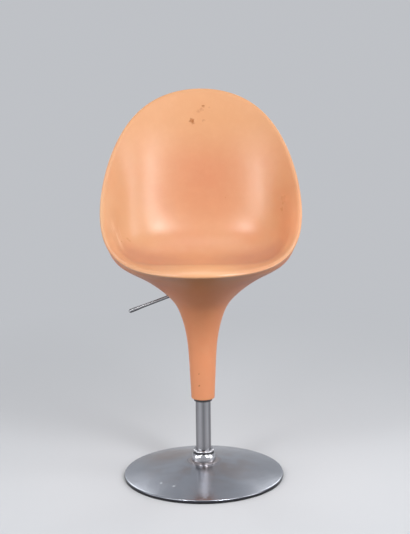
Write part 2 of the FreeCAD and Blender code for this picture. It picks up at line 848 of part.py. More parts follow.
def release_pin():
    """The valve pin in the top of the gas spring, with a domed top."""
    bottom = cylinder_top - pin_depth
    middle = dome_middle()
    shoulder = Vector(pin_radius, 0, middle + math.sqrt(pin_dome ** 2 - pin_radius ** 2))
    half_way = math.asin(pin_radius / pin_dome) / 2.0
    bend = Vector(pin_dome * math.sin(half_way), 0, middle + pin_dome * math.cos(half_way))
    crown = Vector(0, 0, middle + pin_dome)
    corners = [crown, Vector(0, 0, bottom), Vector(pin_radius, 0, bottom), shoulder]
    edges = [Part.makeLine(a, b) for a, b in zip(corners, corners[1:])]
    edges.append(Part.Arc(shoulder, bend, crown).toShape())
    return turned_edges(edges)


os.makedirs("parts", exist_ok=True)
write("base_cover", base_cover())
write("ballast_plate", ballast_plate())
write("floor_pad", floor_pad())
write("foot_collar", foot_collar())
write("column_tube", column_tube())
write("column_flange", column_flange())
write("flange_screws", flange_screws())
write("column_guide_bush", column_guide_bush())
write("bearing_seat", bearing_seat())
write("thrust_washer_lower", thrust_washer(bearing_bottom))
write("thrust_balls", thrust_balls())
write("ball_cage", ball_cage())
write("thrust_washer_upper", thrust_washer(bearing_top - washer_thickness))
write("piston_rod", piston_rod())
write("piston_head", piston_head())
write("piston_seal", piston_seal())
write("rod_clip", rod_clip())
write("rod_bumper", rod_bumper())
write("gas_cylinder", gas_cylinder())
write("cylinder_gland", cylinder_gland())
write("seat_bracket", seat_bracket())
write("bracket_screws", bracket_screws())
write("seat_shell", seat_shell())
write("outer_shell", outer_shell())
write("stem_bush", stem_bush())
write("lever_rocker", lever_rocker())
write("lever_rod", lever_rod())
write("lever_pivot_pin", lever_pivot_pin())
write("release_pin", release_pin())
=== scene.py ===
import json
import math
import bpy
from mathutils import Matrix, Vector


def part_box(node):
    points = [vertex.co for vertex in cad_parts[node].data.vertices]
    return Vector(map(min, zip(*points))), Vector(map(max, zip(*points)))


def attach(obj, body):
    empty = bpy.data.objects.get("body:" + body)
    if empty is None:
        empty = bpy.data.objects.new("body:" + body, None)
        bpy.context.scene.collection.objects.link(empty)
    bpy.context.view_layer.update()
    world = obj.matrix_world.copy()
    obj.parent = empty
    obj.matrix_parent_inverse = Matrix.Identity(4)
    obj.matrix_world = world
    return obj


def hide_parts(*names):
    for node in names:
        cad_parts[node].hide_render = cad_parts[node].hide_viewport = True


bl_info = {
    "name": "Shell Bar Stool",
    "version": (1, 0, 0),
    "blender": (4, 5, 0),
    "location": "3D View > Sidebar > Stool",
    "description": "Models the shells and metalwork of a swivel bar stool round its frame and finishes them",
    "category": "Add Mesh",
}

import bmesh
import bpy
from bpy.props import FloatProperty, FloatVectorProperty, IntProperty, PointerProperty
from bpy.types import Operator, Panel, PropertyGroup
from mathutils import Matrix, Vector

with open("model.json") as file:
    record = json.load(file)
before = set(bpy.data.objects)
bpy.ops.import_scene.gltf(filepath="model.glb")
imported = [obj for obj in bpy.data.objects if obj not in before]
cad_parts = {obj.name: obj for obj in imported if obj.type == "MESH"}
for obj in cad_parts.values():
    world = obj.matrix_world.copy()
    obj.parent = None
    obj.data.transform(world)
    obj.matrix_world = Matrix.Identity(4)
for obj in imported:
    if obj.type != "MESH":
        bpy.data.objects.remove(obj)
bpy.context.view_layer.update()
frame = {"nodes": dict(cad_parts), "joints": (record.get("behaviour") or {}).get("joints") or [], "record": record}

# Places read from the frame
DISC_LOW, DISC_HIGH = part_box("base_cover")
COLLAR_LOW, COLLAR_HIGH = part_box("foot_collar")
BUSH_LOW, BUSH_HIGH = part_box("stem_bush")
TUBE_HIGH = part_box("column_tube")[1]
STEM_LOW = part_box("outer_shell")[0]
BRACKET_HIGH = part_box("seat_bracket")[1]
LEVER_JOINT = [joint for joint in frame["joints"] if joint["name"] == "lever_lift"][0]
PIVOT = Vector(LEVER_JOINT["pos_m"])

# The shells start as one skin, a net of rings: points in a ring, rings down the stem, turns of the rolled rim
RING_POINTS = 24
STEM_RINGS = 8
ROLL_TURNS = (-90.0, -45.0, 0.0, 45.0, 90.0)
# Subdivision draws the roll in, so its net is larger by this factor
ROLL_OVERSHOOT = 3.0 / (2.0 + math.cos(math.radians(45.0)))
# Rounds in which the poles of a ring settle
POLE_ROUNDS = 12
# Least share of a ring's climb that is done at its side
LEAST_CLIMB = 0.01
# How steeply the neck flares, and how late the corners of the outer skin grow
FLARE_POWER = 2.5
CORNER_POWER = 6

# Sections of the bowl, as shares of the way from the pan centre to the rim (out, up)
BOWL_FRONT = ((0.12, 0.025), (0.25, 0.18), (0.37, 0.49), (0.50, 0.865), (0.62, 1.15), (0.735, 1.295),
              (0.822, 1.325), (0.89, 1.295), (0.952, 1.19))
BOWL_SIDE = ((0.14, 0.00), (0.33, 0.01), (0.52, 0.03), (0.68, 0.07), (0.80, 0.145), (0.875, 0.26),
             (0.918, 0.42), (0.944, 0.605), (0.976, 0.79))
BOWL_BACK = ((0.13, 0.00), (0.27, 0.01), (0.40, 0.03), (0.53, 0.07), (0.64, 0.14), (0.72, 0.24),
             (0.79, 0.39), (0.87, 0.58), (0.94, 0.79))

# Sections of the outer skin, as shares of the way from the neck to the rim (out, up)
OUTER_FRONT = ((0.95, 0.97), (0.89, 0.94), (0.82, 0.90), (0.73, 0.85), (0.63, 0.77), (0.51, 0.67),
               (0.39, 0.54), (0.25, 0.36), (0.11, 0.18))
OUTER_SIDE = ((0.975, 0.83), (0.925, 0.667), (0.852, 0.536), (0.763, 0.43), (0.657, 0.352),
              (0.517, 0.288), (0.372, 0.23), (0.216, 0.152), (0.093, 0.077))
OUTER_BACK = ((1.01, 0.92), (0.98, 0.81), (0.93, 0.69), (0.86, 0.57), (0.76, 0.44), (0.63, 0.31),
              (0.48, 0.20), (0.30, 0.125), (0.13, 0.066))

# The ring at which the skin is split into the seat and the outer shell
PARTING_ROW = len(BOWL_FRONT) + len(ROLL_TURNS) - 1

# Details of the shells: steps and least angle of the parting bevel, depth of a boss's hole as a share of the
# boss, distance from the lever's inner end to the slot, and faces round a small cylinder
GROOVE_STEPS = 2
GROOVE_ANGLE = 60.0
BOSS_HOLE_DEPTH = 0.7
SLOT_START = 0.012
CYLINDER_STEPS = 32

# Edges that turn by less than this, in degrees, are shaded smooth
SHELL_SMOOTH = 40.0
TURNED_SMOOTH = 35.0
FLOOR_SMOOTH = 60.0

# Turned pieces: the point that a profile starts from, and steps of their arcs and curves
SEED_SIZE = 0.01
SAME_POINT = 1e-6
CURVE_STEPS = 6
EDGE_STEPS = 8
INNER_EDGE_STEPS = 6
BEAD_STEPS = 12
TIP_STEPS = 10
LEVER_STEPS = 48
# Half width and depth of the ease round the disc's hub, and the broken edge of the collar and the lever
HUB_EASE = 0.002
HUB_DROP = 0.0004
EDGE_BREAK = 0.0006
# The collar's bell, as shares of its way (out, down), and the hollow and ceiling inside it
COLLAR_BELL = ((0.46, 0.18), (0.85, 0.46), (1.0, 0.78), (1.0, 1.0))
COLLAR_HOLLOW = 0.014
COLLAR_CEILING = 0.002
# Share of its chamfer by which the stem ring's lower edge is eased
RING_EASE = 0.3
# The lever's swelling end: its growth at a share of the grip, and at a distance from the tip's middle
GRIP_GROWTH, GRIP_AT = 1.04, 0.25
TIP_GROWTH, TIP_BACK = 0.98, 0.012

# Marks on the old plastic and on the disc: place, radius and depth of colour
BACK_SCUFFS = (
    (Vector((0.0080, 0.1992, 0.9089)), 0.0046, 1.00),
    (Vector((-0.0196, 0.1914, 0.8722)), 0.0082, 1.00),
    (Vector((-0.0216, 0.1922, 0.8765)), 0.0050, 0.80),
    (Vector((0.0040, 0.1975, 0.9010)), 0.0056, 0.35),
    (Vector((-0.0040, 0.1965, 0.8960)), 0.0056, 0.30),
    (Vector((0.0090, 0.1917, 0.8735)), 0.0050, 0.35),
    (Vector((0.0240, 0.1985, 0.9060)), 0.0040, 0.25),
)
STEM_SPOTS = (
    (Vector((-0.0092, -0.0307, 0.2734)), 0.0028, 0.55),
    (Vector((-0.0096, -0.0291, 0.2422)), 0.0030, 0.60),
)
DISC_SPECKS = (
    (Vector((-0.1051, -0.1049, 0.0192)), 0.0040, 0.8),
    (Vector((-0.0728, -0.1273, 0.0196)), 0.0046, 1.0),
)
# Grain of the marks' ragged edges; how far it pushes them, and where a mark starts to fade, both in radii
SCUFF_GRAIN = 170.0
SPECK_GRAIN = 500.0
MARK_PUSH = 2.0
MARK_CORE = 0.30
SPECK_TONE = (0.92, 0.93, 0.94)

# Tones of the shells, with places and heights in metres; a cast multiplies the plastic's own colour
# Painted shade: the deeper tone round the middle of the back of the bowl
BACK_MIDDLE = Vector((0.012, 0.190, 0.735))
BACK_REACH = 0.190
# Top of the bowl: where it turns matt and takes a painted shade that tones down the lamps' sheen there
TOP_ZONE_LOW = 0.77
MATT_TOP = 0.87
TOP_SHADE_CAST = (0.96, 0.91, 0.80)
TOP_DULLNESS = 1.7
# Paler patches of painted light and sheen on the seat's walls and front lip: place, reach and cast
PAINTED_LIGHT_PATCHES = (
    (Vector((-0.205, 0.030, 0.650)), 0.150, (1.04, 1.17, 1.25)),
    (Vector((0.216, -0.020, 0.640)), 0.110, (1.17, 1.10, 1.12)),
    (Vector((0.0085, -0.205, 0.576)), 0.110, (1.12, 1.12, 1.08)),
)
PAINTED_LIGHT_CORE = 0.3
PALEST = 0.95
# Painted shade, a dim mauve tint, on the pan behind the lip: where it sets in from the back and from the front,
# how it fades upwards and how it grows towards the sides
PAN_SHADE_BACK = (0.085, 0.045)
PAN_SHADE_FRONT = (-0.15, -0.11)
PAN_SHADE_UP = (0.57, 0.60, 0.8, 0.0)
PAN_SHADE_ASIDE = (0.02, 0.11, 0.25, 1.0)
PAN_SHADE_CAST = (0.80, 0.73, 0.89)
MOTTLE_TONE = (0.88, 0.52, 0.30)
GRIME_TONE = (0.46, 0.20, 0.10)
SCRATCH_PLACE = Vector((-0.2105, 0.0176, 0.6144))
SCRATCH_REACH = 0.045
SCRATCH_CORE = 0.4
SCRATCH_DEPTH = 0.60
SCRATCH_TONE = (0.92, 0.66, 0.48)

# Tones of the disc: its patch of film and painted reflection, and how that tone, the hub's painted reflection and
# the painted dark reflection on its side fade with distance or height
DISC_SHADE = 0.86
FILM_AND_REFLECTION_PLACE = Vector((-0.082, 0.088, 0.020))
FILM_AND_REFLECTION_REACH = 0.100
FILM_AND_REFLECTION_CORE = 0.3
FILM_AND_REFLECTION_FADE = (0.040, 0.165, 1.0, 0.0)
FILM_AND_REFLECTION_RANGE = (0.44, 0.62, 0.0, 0.85)
FILM_AND_REFLECTION_PATCH_RANGE = (0.30, 0.48, 0.5, 1.0)
HUB_FADE = (0.032, 0.052, 1.0, 0.0)
HUB_REFLECTION = 0.8
HUB_ROUGHNESS = 0.42
SIDE_REFLECTION_FADE = (0.0072, 0.0086, 1.0, 0.0)

# Tones of the other metals, as shares of their colour
ALLOY_SHADE = 0.85
# The column's lit and dark tones for its painted reflections; the dark one also colours its pits
COLUMN_BRIGHT, COLUMN_DARK = 1.20, 0.55
# The collar's lit and dark tones for its painted highlight and painted dark reflection; the dark one also colours
# its dull cloud
COLLAR_BRIGHT, COLLAR_DARK = 1.35, 0.22
# The lever's dark tone for its painted dark edge reflections and its dull cloud
LEVER_DARK = 0.20
# Painted reflection bands: how many lie round the column, their depth and their range; where the collar's painted
# dark reflection below its bead and painted highlight on its bell's foot start and end, in heights of its bead
# below its top; where the lever's painted highlight and dark edge reflections do, in radii above its middle
COLUMN_REFLECTION_BANDS = 6.0
COLUMN_REFLECTION_DEPTH = 0.22
COLUMN_REFLECTION_RANGE = (0.15, 0.85)
UNDER_BEAD_REFLECTION = (0.70, 0.45)
BELL_FOOT_HIGHLIGHT = (1.70, 1.25)
LEVER_HIGHLIGHT = (-0.45, 0.05)
LEVER_EDGE_REFLECTION = (0.50, 0.85)

# Patterns: scale, detail and roughness of the noise and its stretch along each axis; then the range that is
# taken from it and what that range becomes
YELLOWING, YELLOWING_RANGE = (6.0, 3.0), (0.40, 0.75, 0.0, 0.6)
MOTTLE, MOTTLE_RANGE = (38.0, 4.0, 0.7), (0.45, 0.8, 0.0, 0.10)
GRIME, GRIME_RANGE = (14.0, 3.0, 0.5), (0.55, 0.85, 0.0, 0.05)
SCRATCHES, SCRATCHES_RANGE = (70.0, 2.0, 0.5, (0.25, 1.60, 0.30)), (0.54, 0.60)
SHINE, SHINE_RANGE, SHINE_SPREAD = (9.0, 4.0, 0.6), (0.3, 0.75), (0.88, 1.12)
SKIN_GRAIN = (420.0, 2.0, 0.5)
DISC_CLOUD, DISC_CLOUD_RANGE = (9.0, 4.0, 0.55), (0.32, 0.70)
DISC_CLUMPS = (17.0, 4.0, 0.55)
DISC_WIPE, DISC_WIPE_RANGE = (30.0, 4.0, 0.6), (0.3, 0.75, 0.20, 0.27)
ALLOY_CLOUD, ALLOY_CLOUD_RANGE = (25.0, 4.0), (0.3, 0.75)
# Streaks along the column: partly drawing lines, partly painted reflection
COLUMN_STREAKS = (120.0, 3.0, 0.6, (1.0, 1.0, 0.02))
COLUMN_PITS, COLUMN_PITS_RANGE = (150.0, 3.0, 0.6), (0.66, 0.80, 0.0, 0.5)
COLUMN_WIPE, COLUMN_WIPE_RANGE = (30.0, 4.0, 0.6, (1.0, 1.0, 0.25)), (0.35, 0.75, 0.14, 0.20)
COLLAR_CLOUD, COLLAR_CLOUD_RANGE = (90.0, 3.0, 0.6), (0.40, 0.75, 0.0, 0.35)
LEVER_CLOUD, LEVER_CLOUD_RANGE = (40.0, 3.0, 0.5), (0.40, 0.75, 0.0, 0.20)
# Roughness that goes with a cloud: the cloud's least and most, then the roughness at each
ALLOY_ROUGHNESS = (0.0, 1.0, 0.24, 0.32)
COLLAR_ROUGHNESS = (0.0, 0.35, 0.22, 0.28)
LEVER_ROUGHNESS = (0.0, 0.20, 0.32, 0.38)
# Turning marks, as scale and strength, and depths of the bumps in metres
DISC_GROOVES = (160.0, 0.012)
ALLOY_GROOVES = (420.0, 0.05)
GROOVE_DEPTH = 0.0002
SKIN_STRENGTH, SKIN_DEPTH = 0.035, 0.0006
COAT_DEPTH = 0.0005

# Plain coats and castings: their colour's setting, grain, roughness, strength of the skin, share of metal
PLAIN_COATS = {
    "bare_steel": ("steel", 90.0, 0.34, 0.10, 1.0),
    "cast_iron": ("iron", 240.0, 0.75, 0.60, 0.0),
    "black_enamel": ("black_paint", 300.0, 0.38, 0.15, 0.0),
    "brass_cage": ("brass", 150.0, 0.32, 0.08, 1.0),
    "soft_rubber": ("rubber", 320.0, 0.82, 0.35, 0.0),
    "guide_plastic": ("black_plastic", 260.0, 0.50, 0.12, 0.0),
    "ring_plastic": ("grey_plastic", 260.0, 0.46, 0.10, 0.0),
}
# Their lighter tone, their grain and its range, and the coarser wipe that varies their roughness
COAT_LIGHTER, COAT_LIFT = 1.5, 0.004
COAT_GRAIN, COAT_GRAIN_RANGE = (5.0, 0.65), (0.35, 0.75)
COAT_WIPE, COAT_WIPE_RANGE, COAT_WIPE_SPREAD = 0.3, (0.3, 0.7), (0.85, 1.15)

# The finish that stands for each slot of the record
FINISH_OF_SLOT = {
    "orange_shell": "shell_plastic",
    "satin_disc": "spun_disc",
    "bright_chrome": "polished_plating",
    "plain_steel": "bare_steel",
    "ballast_iron": "cast_iron",
    "black_paint": "black_enamel",
    "light_alloy": "turned_alloy",
    "bearing_brass": "brass_cage",
    "pad_rubber": "soft_rubber",
    "black_plastic": "guide_plastic",
    "grey_plastic": "ring_plastic",
}

# Lamps as seen from the seat: azimuth from the camera's side to the right, elevation, distance, size, lean
# and share of the power
LAMP_TARGET = Vector((0.0, 0.05, 0.66))
RIGHT_LAMPS = (("softbox_right", 28.0, 37.0, 2.4, (0.50, 0.60), 10.0, 0.51),
               ("middle_right", 32.0, 26.0, 2.4, (0.50, 0.50), 16.0, 0.18),
               ("strip_right", 38.0, 14.0, 2.5, (0.60, 0.70), 20.0, 0.24),
               ("outer_right", 52.0, 8.0, 2.6, (0.60, 0.80), 20.0, 0.07))
LEFT_LAMPS = (("softbox_left", -32.0, 37.0, 2.4, (0.50, 0.60), -10.0, 0.47),
              ("strip_left", -39.0, 14.0, 2.5, (0.60, 0.70), -20.0, 0.19),
              ("outer_left", -52.0, 8.0, 2.6, (0.60, 0.80), -20.0, 0.34))
SIDE_LAMPS = (("side_right", 75.0, 22.0, 2.4, (1.00, 1.20), 0.0, 0.32),
              ("fill_right", 75.0, -3.0, 2.4, (1.00, 0.80), 0.0, 0.33),
              ("fill_left", -75.0, -3.0, 2.4, (1.00, 0.80), 0.0, 0.35))
TOP_LAMPS = (("overhead", 0.0, 78.0, 2.2, (1.20, 1.20), 0.0, 1.0),)
BACK_LAMPS = (("back_right", 145.0, 25.0, 2.8, (1.20, 1.20), 0.0, 0.45),
              ("back_left", -145.0, 25.0, 2.8, (1.20, 1.20), 0.0, 0.38),
              ("behind", 180.0, 68.0, 2.4, (1.20, 0.60), 0.0, 0.17))

# The floor: its size and place, how high the backdrop rises and the sweep between the two; then the point
# from which its even tone is measured, and the distances over which it sets in
FLOOR_SIZE = 14.0
FLOOR_PLACE = (0.0, -1.0, 0.0)
BACKDROP_RISE = 5.0
SWEEP = 1.6
SWEEP_STEPS = 24
FLOOR_MIDDLE = (0.0, 0.1, 0.0)
FLOOR_FADE = (0.35, 1.7)
SKY_CAST = (0.94, 0.97, 1.0)
SENSOR_WIDTH = 36.0


def length(name, description, default):
    """A size in metres that the panel shows."""
    return FloatProperty(name=name, description=description, default=default, min=0.0, precision=4,
                         unit="LENGTH")


def degrees(name, description, default):
    """An angle that the panel shows in degrees."""
    return FloatProperty(name=name, description=description, default=math.radians(default), subtype="ANGLE")


def tint(name, description, default):
    """A colour that the panel shows."""
    return FloatVectorProperty(name=name, description=description, default=default, size=3, min=0.0, max=1.0,
                               subtype="COLOR")


def share(name, description, default):
    """A number between nothing and all."""
    return FloatProperty(name=name, description=description, default=default, min=0.0, max=1.0,
                         subtype="FACTOR")


def power(name, description, default):
    """A power in watts that the panel shows."""
    return FloatProperty(name=name, description=description, default=default, unit="POWER")


class StoolShellSizes(PropertyGroup):
    """Sizes of the two shells."""

    rim_front: length("Rim front", "Column axis to the middle of the front lip", 0.229)
    rim_side: length("Rim side", "Column axis to the middle of the rim at its widest", 0.2375)
    rim_back: length("Rim back", "Column axis to the middle of the rim at the back", 0.2138)
    rim_side_set: length("Rim side set", "How far behind the axis the rim is widest", 0.030)
    rim_front_top: length("Front lip height", "Floor to the middle of the front lip", 0.5625)
    rim_side_top: length("Side rim height", "Floor to the middle of the rim at its widest", 0.715)
    rim_back_top: length("Back rim height", "Floor to the middle of the rim at the back", 0.9461)
    rim_corner: length("Rim corner", "How far the front corners are pulled out", 0.0141)
    rim_square: length("Rim square", "How far the rim is squared", 0.005)
    rim_sweep: length("Rim sweep", "How far the rim dips between front and side", 0.0113)
    corner_dip: length("Corner dip", "How far the bowl is sunk inside the front corners", 0.010)
    rim_round: length("Rim round", "Radius of the rolled rim across the wall", 0.006)
    rim_lip: length("Lip inner round", "Half width of the roll on the pan's side of the front lip", 0.006)
    rim_lip_depth: length("Lip inner depth", "How far the front lip's roll reaches back", 0.008)
    rim_inner: length("Rim inner round", "Half width of the roll on the bowl's side", 0.006)
    bowl_set: length("Bowl set", "How far the bowl's wall ends inside the middle of the rim", 0.012)
    rim_inner_depth: length("Rim inner depth", "How far the roll reaches down the bowl's wall", 0.010)
    rim_ease: FloatProperty(name="Rim ease", description="How gently the wall turns into the rim",
                            default=1.5, min=1.0)
    rim_outer: length("Rim outer round", "Half width of the roll on the outer side", 0.005)
    front_lean: degrees("Front lean", "Lean of the rolled rim at the front", -25.0)
    side_lean: degrees("Side lean", "Lean of the rolled rim at the sides", 84.0)
    back_lean: degrees("Back lean", "Lean of the rolled rim at the back", 78.0)
    pan_forward: length("Pan forward", "How far the lowest point of the pan is in front of the axis", 0.010)
    pan_top: length("Pan height", "Floor to the lowest point of the pan", 0.5415)
    neck_top: length("Neck height", "Floor to the top of the round stem", 0.4415)
    stem_low: length("Stem height", "Floor to the lower edge of the stem", STEM_LOW.z)
    stem_radius: length("Stem radius", "Radius of the stem at its lower edge", 0.029)
    stem_straight: length("Straight stem", "Length of the stem below its flare", 0.100)
    neck_flare: length("Neck flare", "How far the neck flares beyond the taper", 0.0218)
    stem_taper: share("Stem taper", "Growth of the stem's radius for each metre of height", 0.045)
    wall: length("Wall", "Thickness of the moulded wall", 0.004)
    groove: length("Parting groove", "Width of the bevel at the moulded edges", 0.0004)
    boss_radius: length("Boss radius", "Radius of a screw boss under the pan", 0.008)
    boss_hole: length("Boss hole", "Radius of the screw hole in a boss", 0.00302)
    boss_x: length("Boss spacing", "Half the distance between the bosses, side to side", 0.070)
    boss_y: length("Boss depth", "Half the distance between the bosses, front to back", 0.048)
    slot_clearance: length("Slot clearance", "Room round the lever in the stem's slot", 0.0026)
    smoothness: IntProperty(name="Smoothness", description="Subdivision levels of the skin",
                            default=3, min=1, max=4)


class StoolMetalSizes(PropertyGroup):
    """Sizes of the turned metal pieces."""

    disc_edge: length("Disc edge height", "Height of the disc at its edge", 0.010)
    disc_round: length("Disc edge round", "Radius of the disc's edge", 0.004)
    disc_hub: length("Disc hub radius", "Radius of the flat round the column", 0.030)
    disc_sheet: length("Disc sheet", "Thickness of the disc's sheet", 0.0015)
    collar_bead: length("Collar bead", "Height of the rounded bead on the collar", 0.007)
    collar_lip: length("Collar lip radius", "Radius of the bead", 0.0275)
    collar_wall: length("Collar wall", "Thickness of the collar's skirt", 0.0022)
    tube_gap: length("Tube gap", "Room between the column and what goes round it", 0.0003)
    bush_nose: length("Bush nose", "Height of the ring below the stem", 0.008)
    bush_nose_radius: length("Bush nose radius", "Radius of the ring below the stem", 0.023)
    bush_chamfer: length("Bush chamfer", "Chamfer on the ring below the stem", 0.0012)
    lever_length: length("Lever length", "Pivot to the tip of the lever", 0.160)
    lever_start: length("Lever start", "Pivot to the inner end of the lever", 0.0095)
    lever_radius: length("Lever radius", "Radius of the lever's rod", 0.0039)
    lever_tip: length("Lever tip radius", "Radius of the lever's swollen tip", 0.0049)
    lever_grip: length("Lever grip", "Length of the lever's swelling end", 0.046)
    lever_slope: degrees("Lever slope", "How far the lever points below level", 20.6)
    turned_steps: IntProperty(name="Turned steps", description="Faces round a turned piece",
                              default=160, min=24)


class StoolFinishes(PropertyGroup):
    """Colours of the finishes."""

    shell: tint("Shell", "Peach colour of the moulded seat", (0.680, 0.348, 0.180))
    # Deeper tone: the plastic's own in random patches, and painted shade round the middle of the back
    shell_deep: tint("Shell, deep", "The same plastic where it has yellowed", (0.650, 0.266, 0.134))
    # The outside and stem: a lighter copy of the seat's plastic colour, painted light under the seat
    outside: tint("Shell outside", "Peach colour of the shell's outside and stem", (0.930, 0.385, 0.190))
    # Deeper tone of the outside: the plastic's own in random patches, and painted shade round the middle of the
    # back
    outside_deep: tint("Shell outside, deep", "The outside where it has yellowed", (0.900, 0.355, 0.166))
    scuff: tint("Scuff", "Brown of the scuffs", (0.335, 0.098, 0.006))
    disc: tint("Disc", "Satin metal of the disc", (0.395, 0.412, 0.455))
    # Brownish tone near the collar: partly film, partly painted reflection of the peach seat
    disc_film_and_reflection: tint("Disc film", "Brownish film on the disc near the collar", (0.318, 0.266, 0.254))
    # Painted dark reflection on the disc's side, near the floor
    disc_side_reflection: tint("Disc foot", "Tarnished edge of the disc, near the floor", (0.050, 0.050, 0.058))
    chrome: tint("Chrome", "Bright plating", (0.375, 0.373, 0.392))
    lever_chrome: tint("Lever chrome", "Plating of the lever", (0.400, 0.402, 0.420))
    steel: tint("Steel", "Plain steel", (0.420, 0.420, 0.430))
    iron: tint("Iron", "Cast ballast", (0.060, 0.060, 0.065))
    alloy: tint("Alloy", "Turned light alloy", (0.620, 0.630, 0.650))
    brass: tint("Brass", "Bearing cage", (0.600, 0.380, 0.130))
    rubber: tint("Rubber", "Floor pad, bumper and seal", (0.020, 0.020, 0.021))
    black_plastic: tint("Black plastic", "Guide bush in the column", (0.026, 0.026, 0.028))
    grey_plastic: tint("Grey plastic", "Ring below the stem", (0.060, 0.058, 0.060))
    black_paint: tint("Black paint", "Bracket and gas spring", (0.018, 0.018, 0.020))


class StoolStage(PropertyGroup):
    """The camera, the floor and the lamps."""

    lens: FloatProperty(name="Lens", description="Focal length on a 36 mm sensor", default=95.84, min=1.0)
    camera_x: FloatProperty(name="Camera across", description="Camera place, to +X", default=0.0085)
    camera_y: FloatProperty(name="Camera back", description="Camera place, to +Y", default=-3.396)
    camera_z: length("Camera height", "Camera place above the floor", 1.258)
    pitch: degrees("Camera pitch", "How far the camera looks down", 12.007)
    roll: degrees("Camera roll", "Turn of the camera about its own line of sight", -0.647)
    floor: tint("Floor", "Pale floor near the object", (0.640, 0.655, 0.685))
    backdrop: tint("Backdrop", "Pale tone of the far floor and the backdrop", (0.520, 0.535, 0.565))
    floor_bounce: tint("Floor bounce", "Grey that the floor gives back to the object", (0.085, 0.080, 0.076))
    right_power: power("Right power", "Power of the right lamps", 37.2)
    left_power: power("Left power", "Power of the left lamps", 30.7)
    side_power: power("Side power", "Power of the side fills", 36.0)
    top_power: power("Top power", "Power of the overhead lamp", 7.3)
    back_power: power("Back power", "Power of the lamps behind", 42.0)
    sky: share("Surround", "Strength of the studio's even light", 0.10)


SETTINGS = (
    ("stool_shell", StoolShellSizes),
    ("stool_metal", StoolMetalSizes),
    ("stool_finish", StoolFinishes),
    ("stool_stage", StoolStage),
)


def blend(front, side, back, angle):
    """Pass smoothly from the front value through the side value to the back value."""
    mean = (front + 2.0 * side + back) / 4.0
    lean = (front - back) / 2.0
    oval = (front - 2.0 * side + back) / 4.0
    return mean + lean * math.cos(angle) + oval * math.cos(2.0 * angle)


def climb(front, side, back, angle):
    """Climb steadily from the front height through the side height to the back height."""
    half_way = max(LEAST_CLIMB, (side - front) / (back - front))
    power = math.log(half_way) / math.log(0.5)
    return front + (back - front) * ((1.0 - math.cos(angle)) / 2.0) ** power


def ring_angles():
    """The angles of the points of a ring, from the front, round by +X."""
    return [2.0 * math.pi * step / RING_POINTS for step in range(RING_POINTS)]


def skin_row(size, front, side, back, side_set):
    """A ring through a front (y, z), a side (x, z) and a back (y, z) point of the sections."""
    rise = (back[1] - front[1]) / (size.rim_back_top - size.rim_front_top)
    row = []
    for angle in ring_angles():
        x = side[0] * math.sin(angle)
        x += rise * size.rim_corner * math.sin(2.0 * angle)
        x += rise * size.rim_square * (math.sin(3.0 * angle) + math.sin(angle))
        y = blend(front[0], side_set, back[0], angle)
        z = blend(front[1], side[1], back[1], angle)
        z += rise * size.rim_sweep * (math.cos(3.0 * angle) - math.cos(angle))
        z -= size.corner_dip * rise * (1.0 - rise) * ((1.0 + math.cos(angle)) * math.sin(2.0 * angle)) ** 2
        row.append(Vector((x, y, z)))
    return row


def bowl_row(size, front, side, back):
    """One ring of the bowl between the pan centre and the rim."""
    pan_set = -size.pan_forward
    front_reach = front[0] * (size.rim_front + pan_set)
    front_rise = front[1] * (size.rim_front_top - size.pan_top + size.rim_lip)
    side_reach = side[0] * (size.rim_side - size.bowl_set)
    side_rise = side[1] * (size.rim_side_top - size.pan_top)
    back_reach = back[0] * (size.rim_back - size.bowl_set - pan_set)
    back_rise = back[1] * (size.rim_back_top - size.pan_top)
    side_set = pan_set + (size.rim_side_set - pan_set) * side[0] ** 2
    return skin_row(size, (pan_set - front_reach, size.pan_top + front_rise),
                    (side_reach, size.pan_top + side_rise),
                    (pan_set + back_reach, size.pan_top + back_rise), side_set)


def roll_row(size, turn):
    """One ring of the rolled rim, from -90 on the bowl to 90 on the outer skin."""
    middle = skin_row(size, (-size.rim_front, size.rim_front_top), (size.rim_side, size.rim_side_top),
                      (size.rim_back, size.rim_back_top), size.rim_side_set)
    swing = math.radians(turn)
    row = []
    for angle, point in zip(ring_angles(), middle):
        lean = blend(size.front_lean, size.side_lean, size.back_lean, angle)
        outward = Vector((math.sin(angle), -math.cos(angle), 0.0))
        away = outward * math.cos(lean) + Vector((0.0, 0.0, math.sin(lean)))
        across = Vector((0.0, 0.0, math.cos(lean))) - outward * math.sin(lean)
        over = size.rim_outer * math.sin(swing)
        drop = size.rim_round * (1.0 - math.cos(swing))
        if turn < 0:
            width = blend(size.rim_lip, size.rim_inner, size.rim_inner, angle)
            depth = blend(size.rim_lip_depth, size.rim_inner_depth, size.rim_inner_depth, angle)
            over = -width * abs(math.sin(swing)) ** size.rim_ease
            drop = depth * (1.0 - math.cos(swing)) ** (1.0 / math.sqrt(size.rim_ease))
        offset = away * (size.rim_round - drop) - across * over
        row.append(point + offset * ROLL_OVERSHOOT)
    return row


def neck_radius(size, height):
    """Outer radius of the stem at a height above its lower edge."""
    stem_height = size.neck_top - size.stem_low
    flare = max(0.0, (height - size.stem_straight) / (stem_height - size.stem_straight))
    return size.stem_radius + size.stem_taper * height + size.neck_flare * flare ** FLARE_POWER


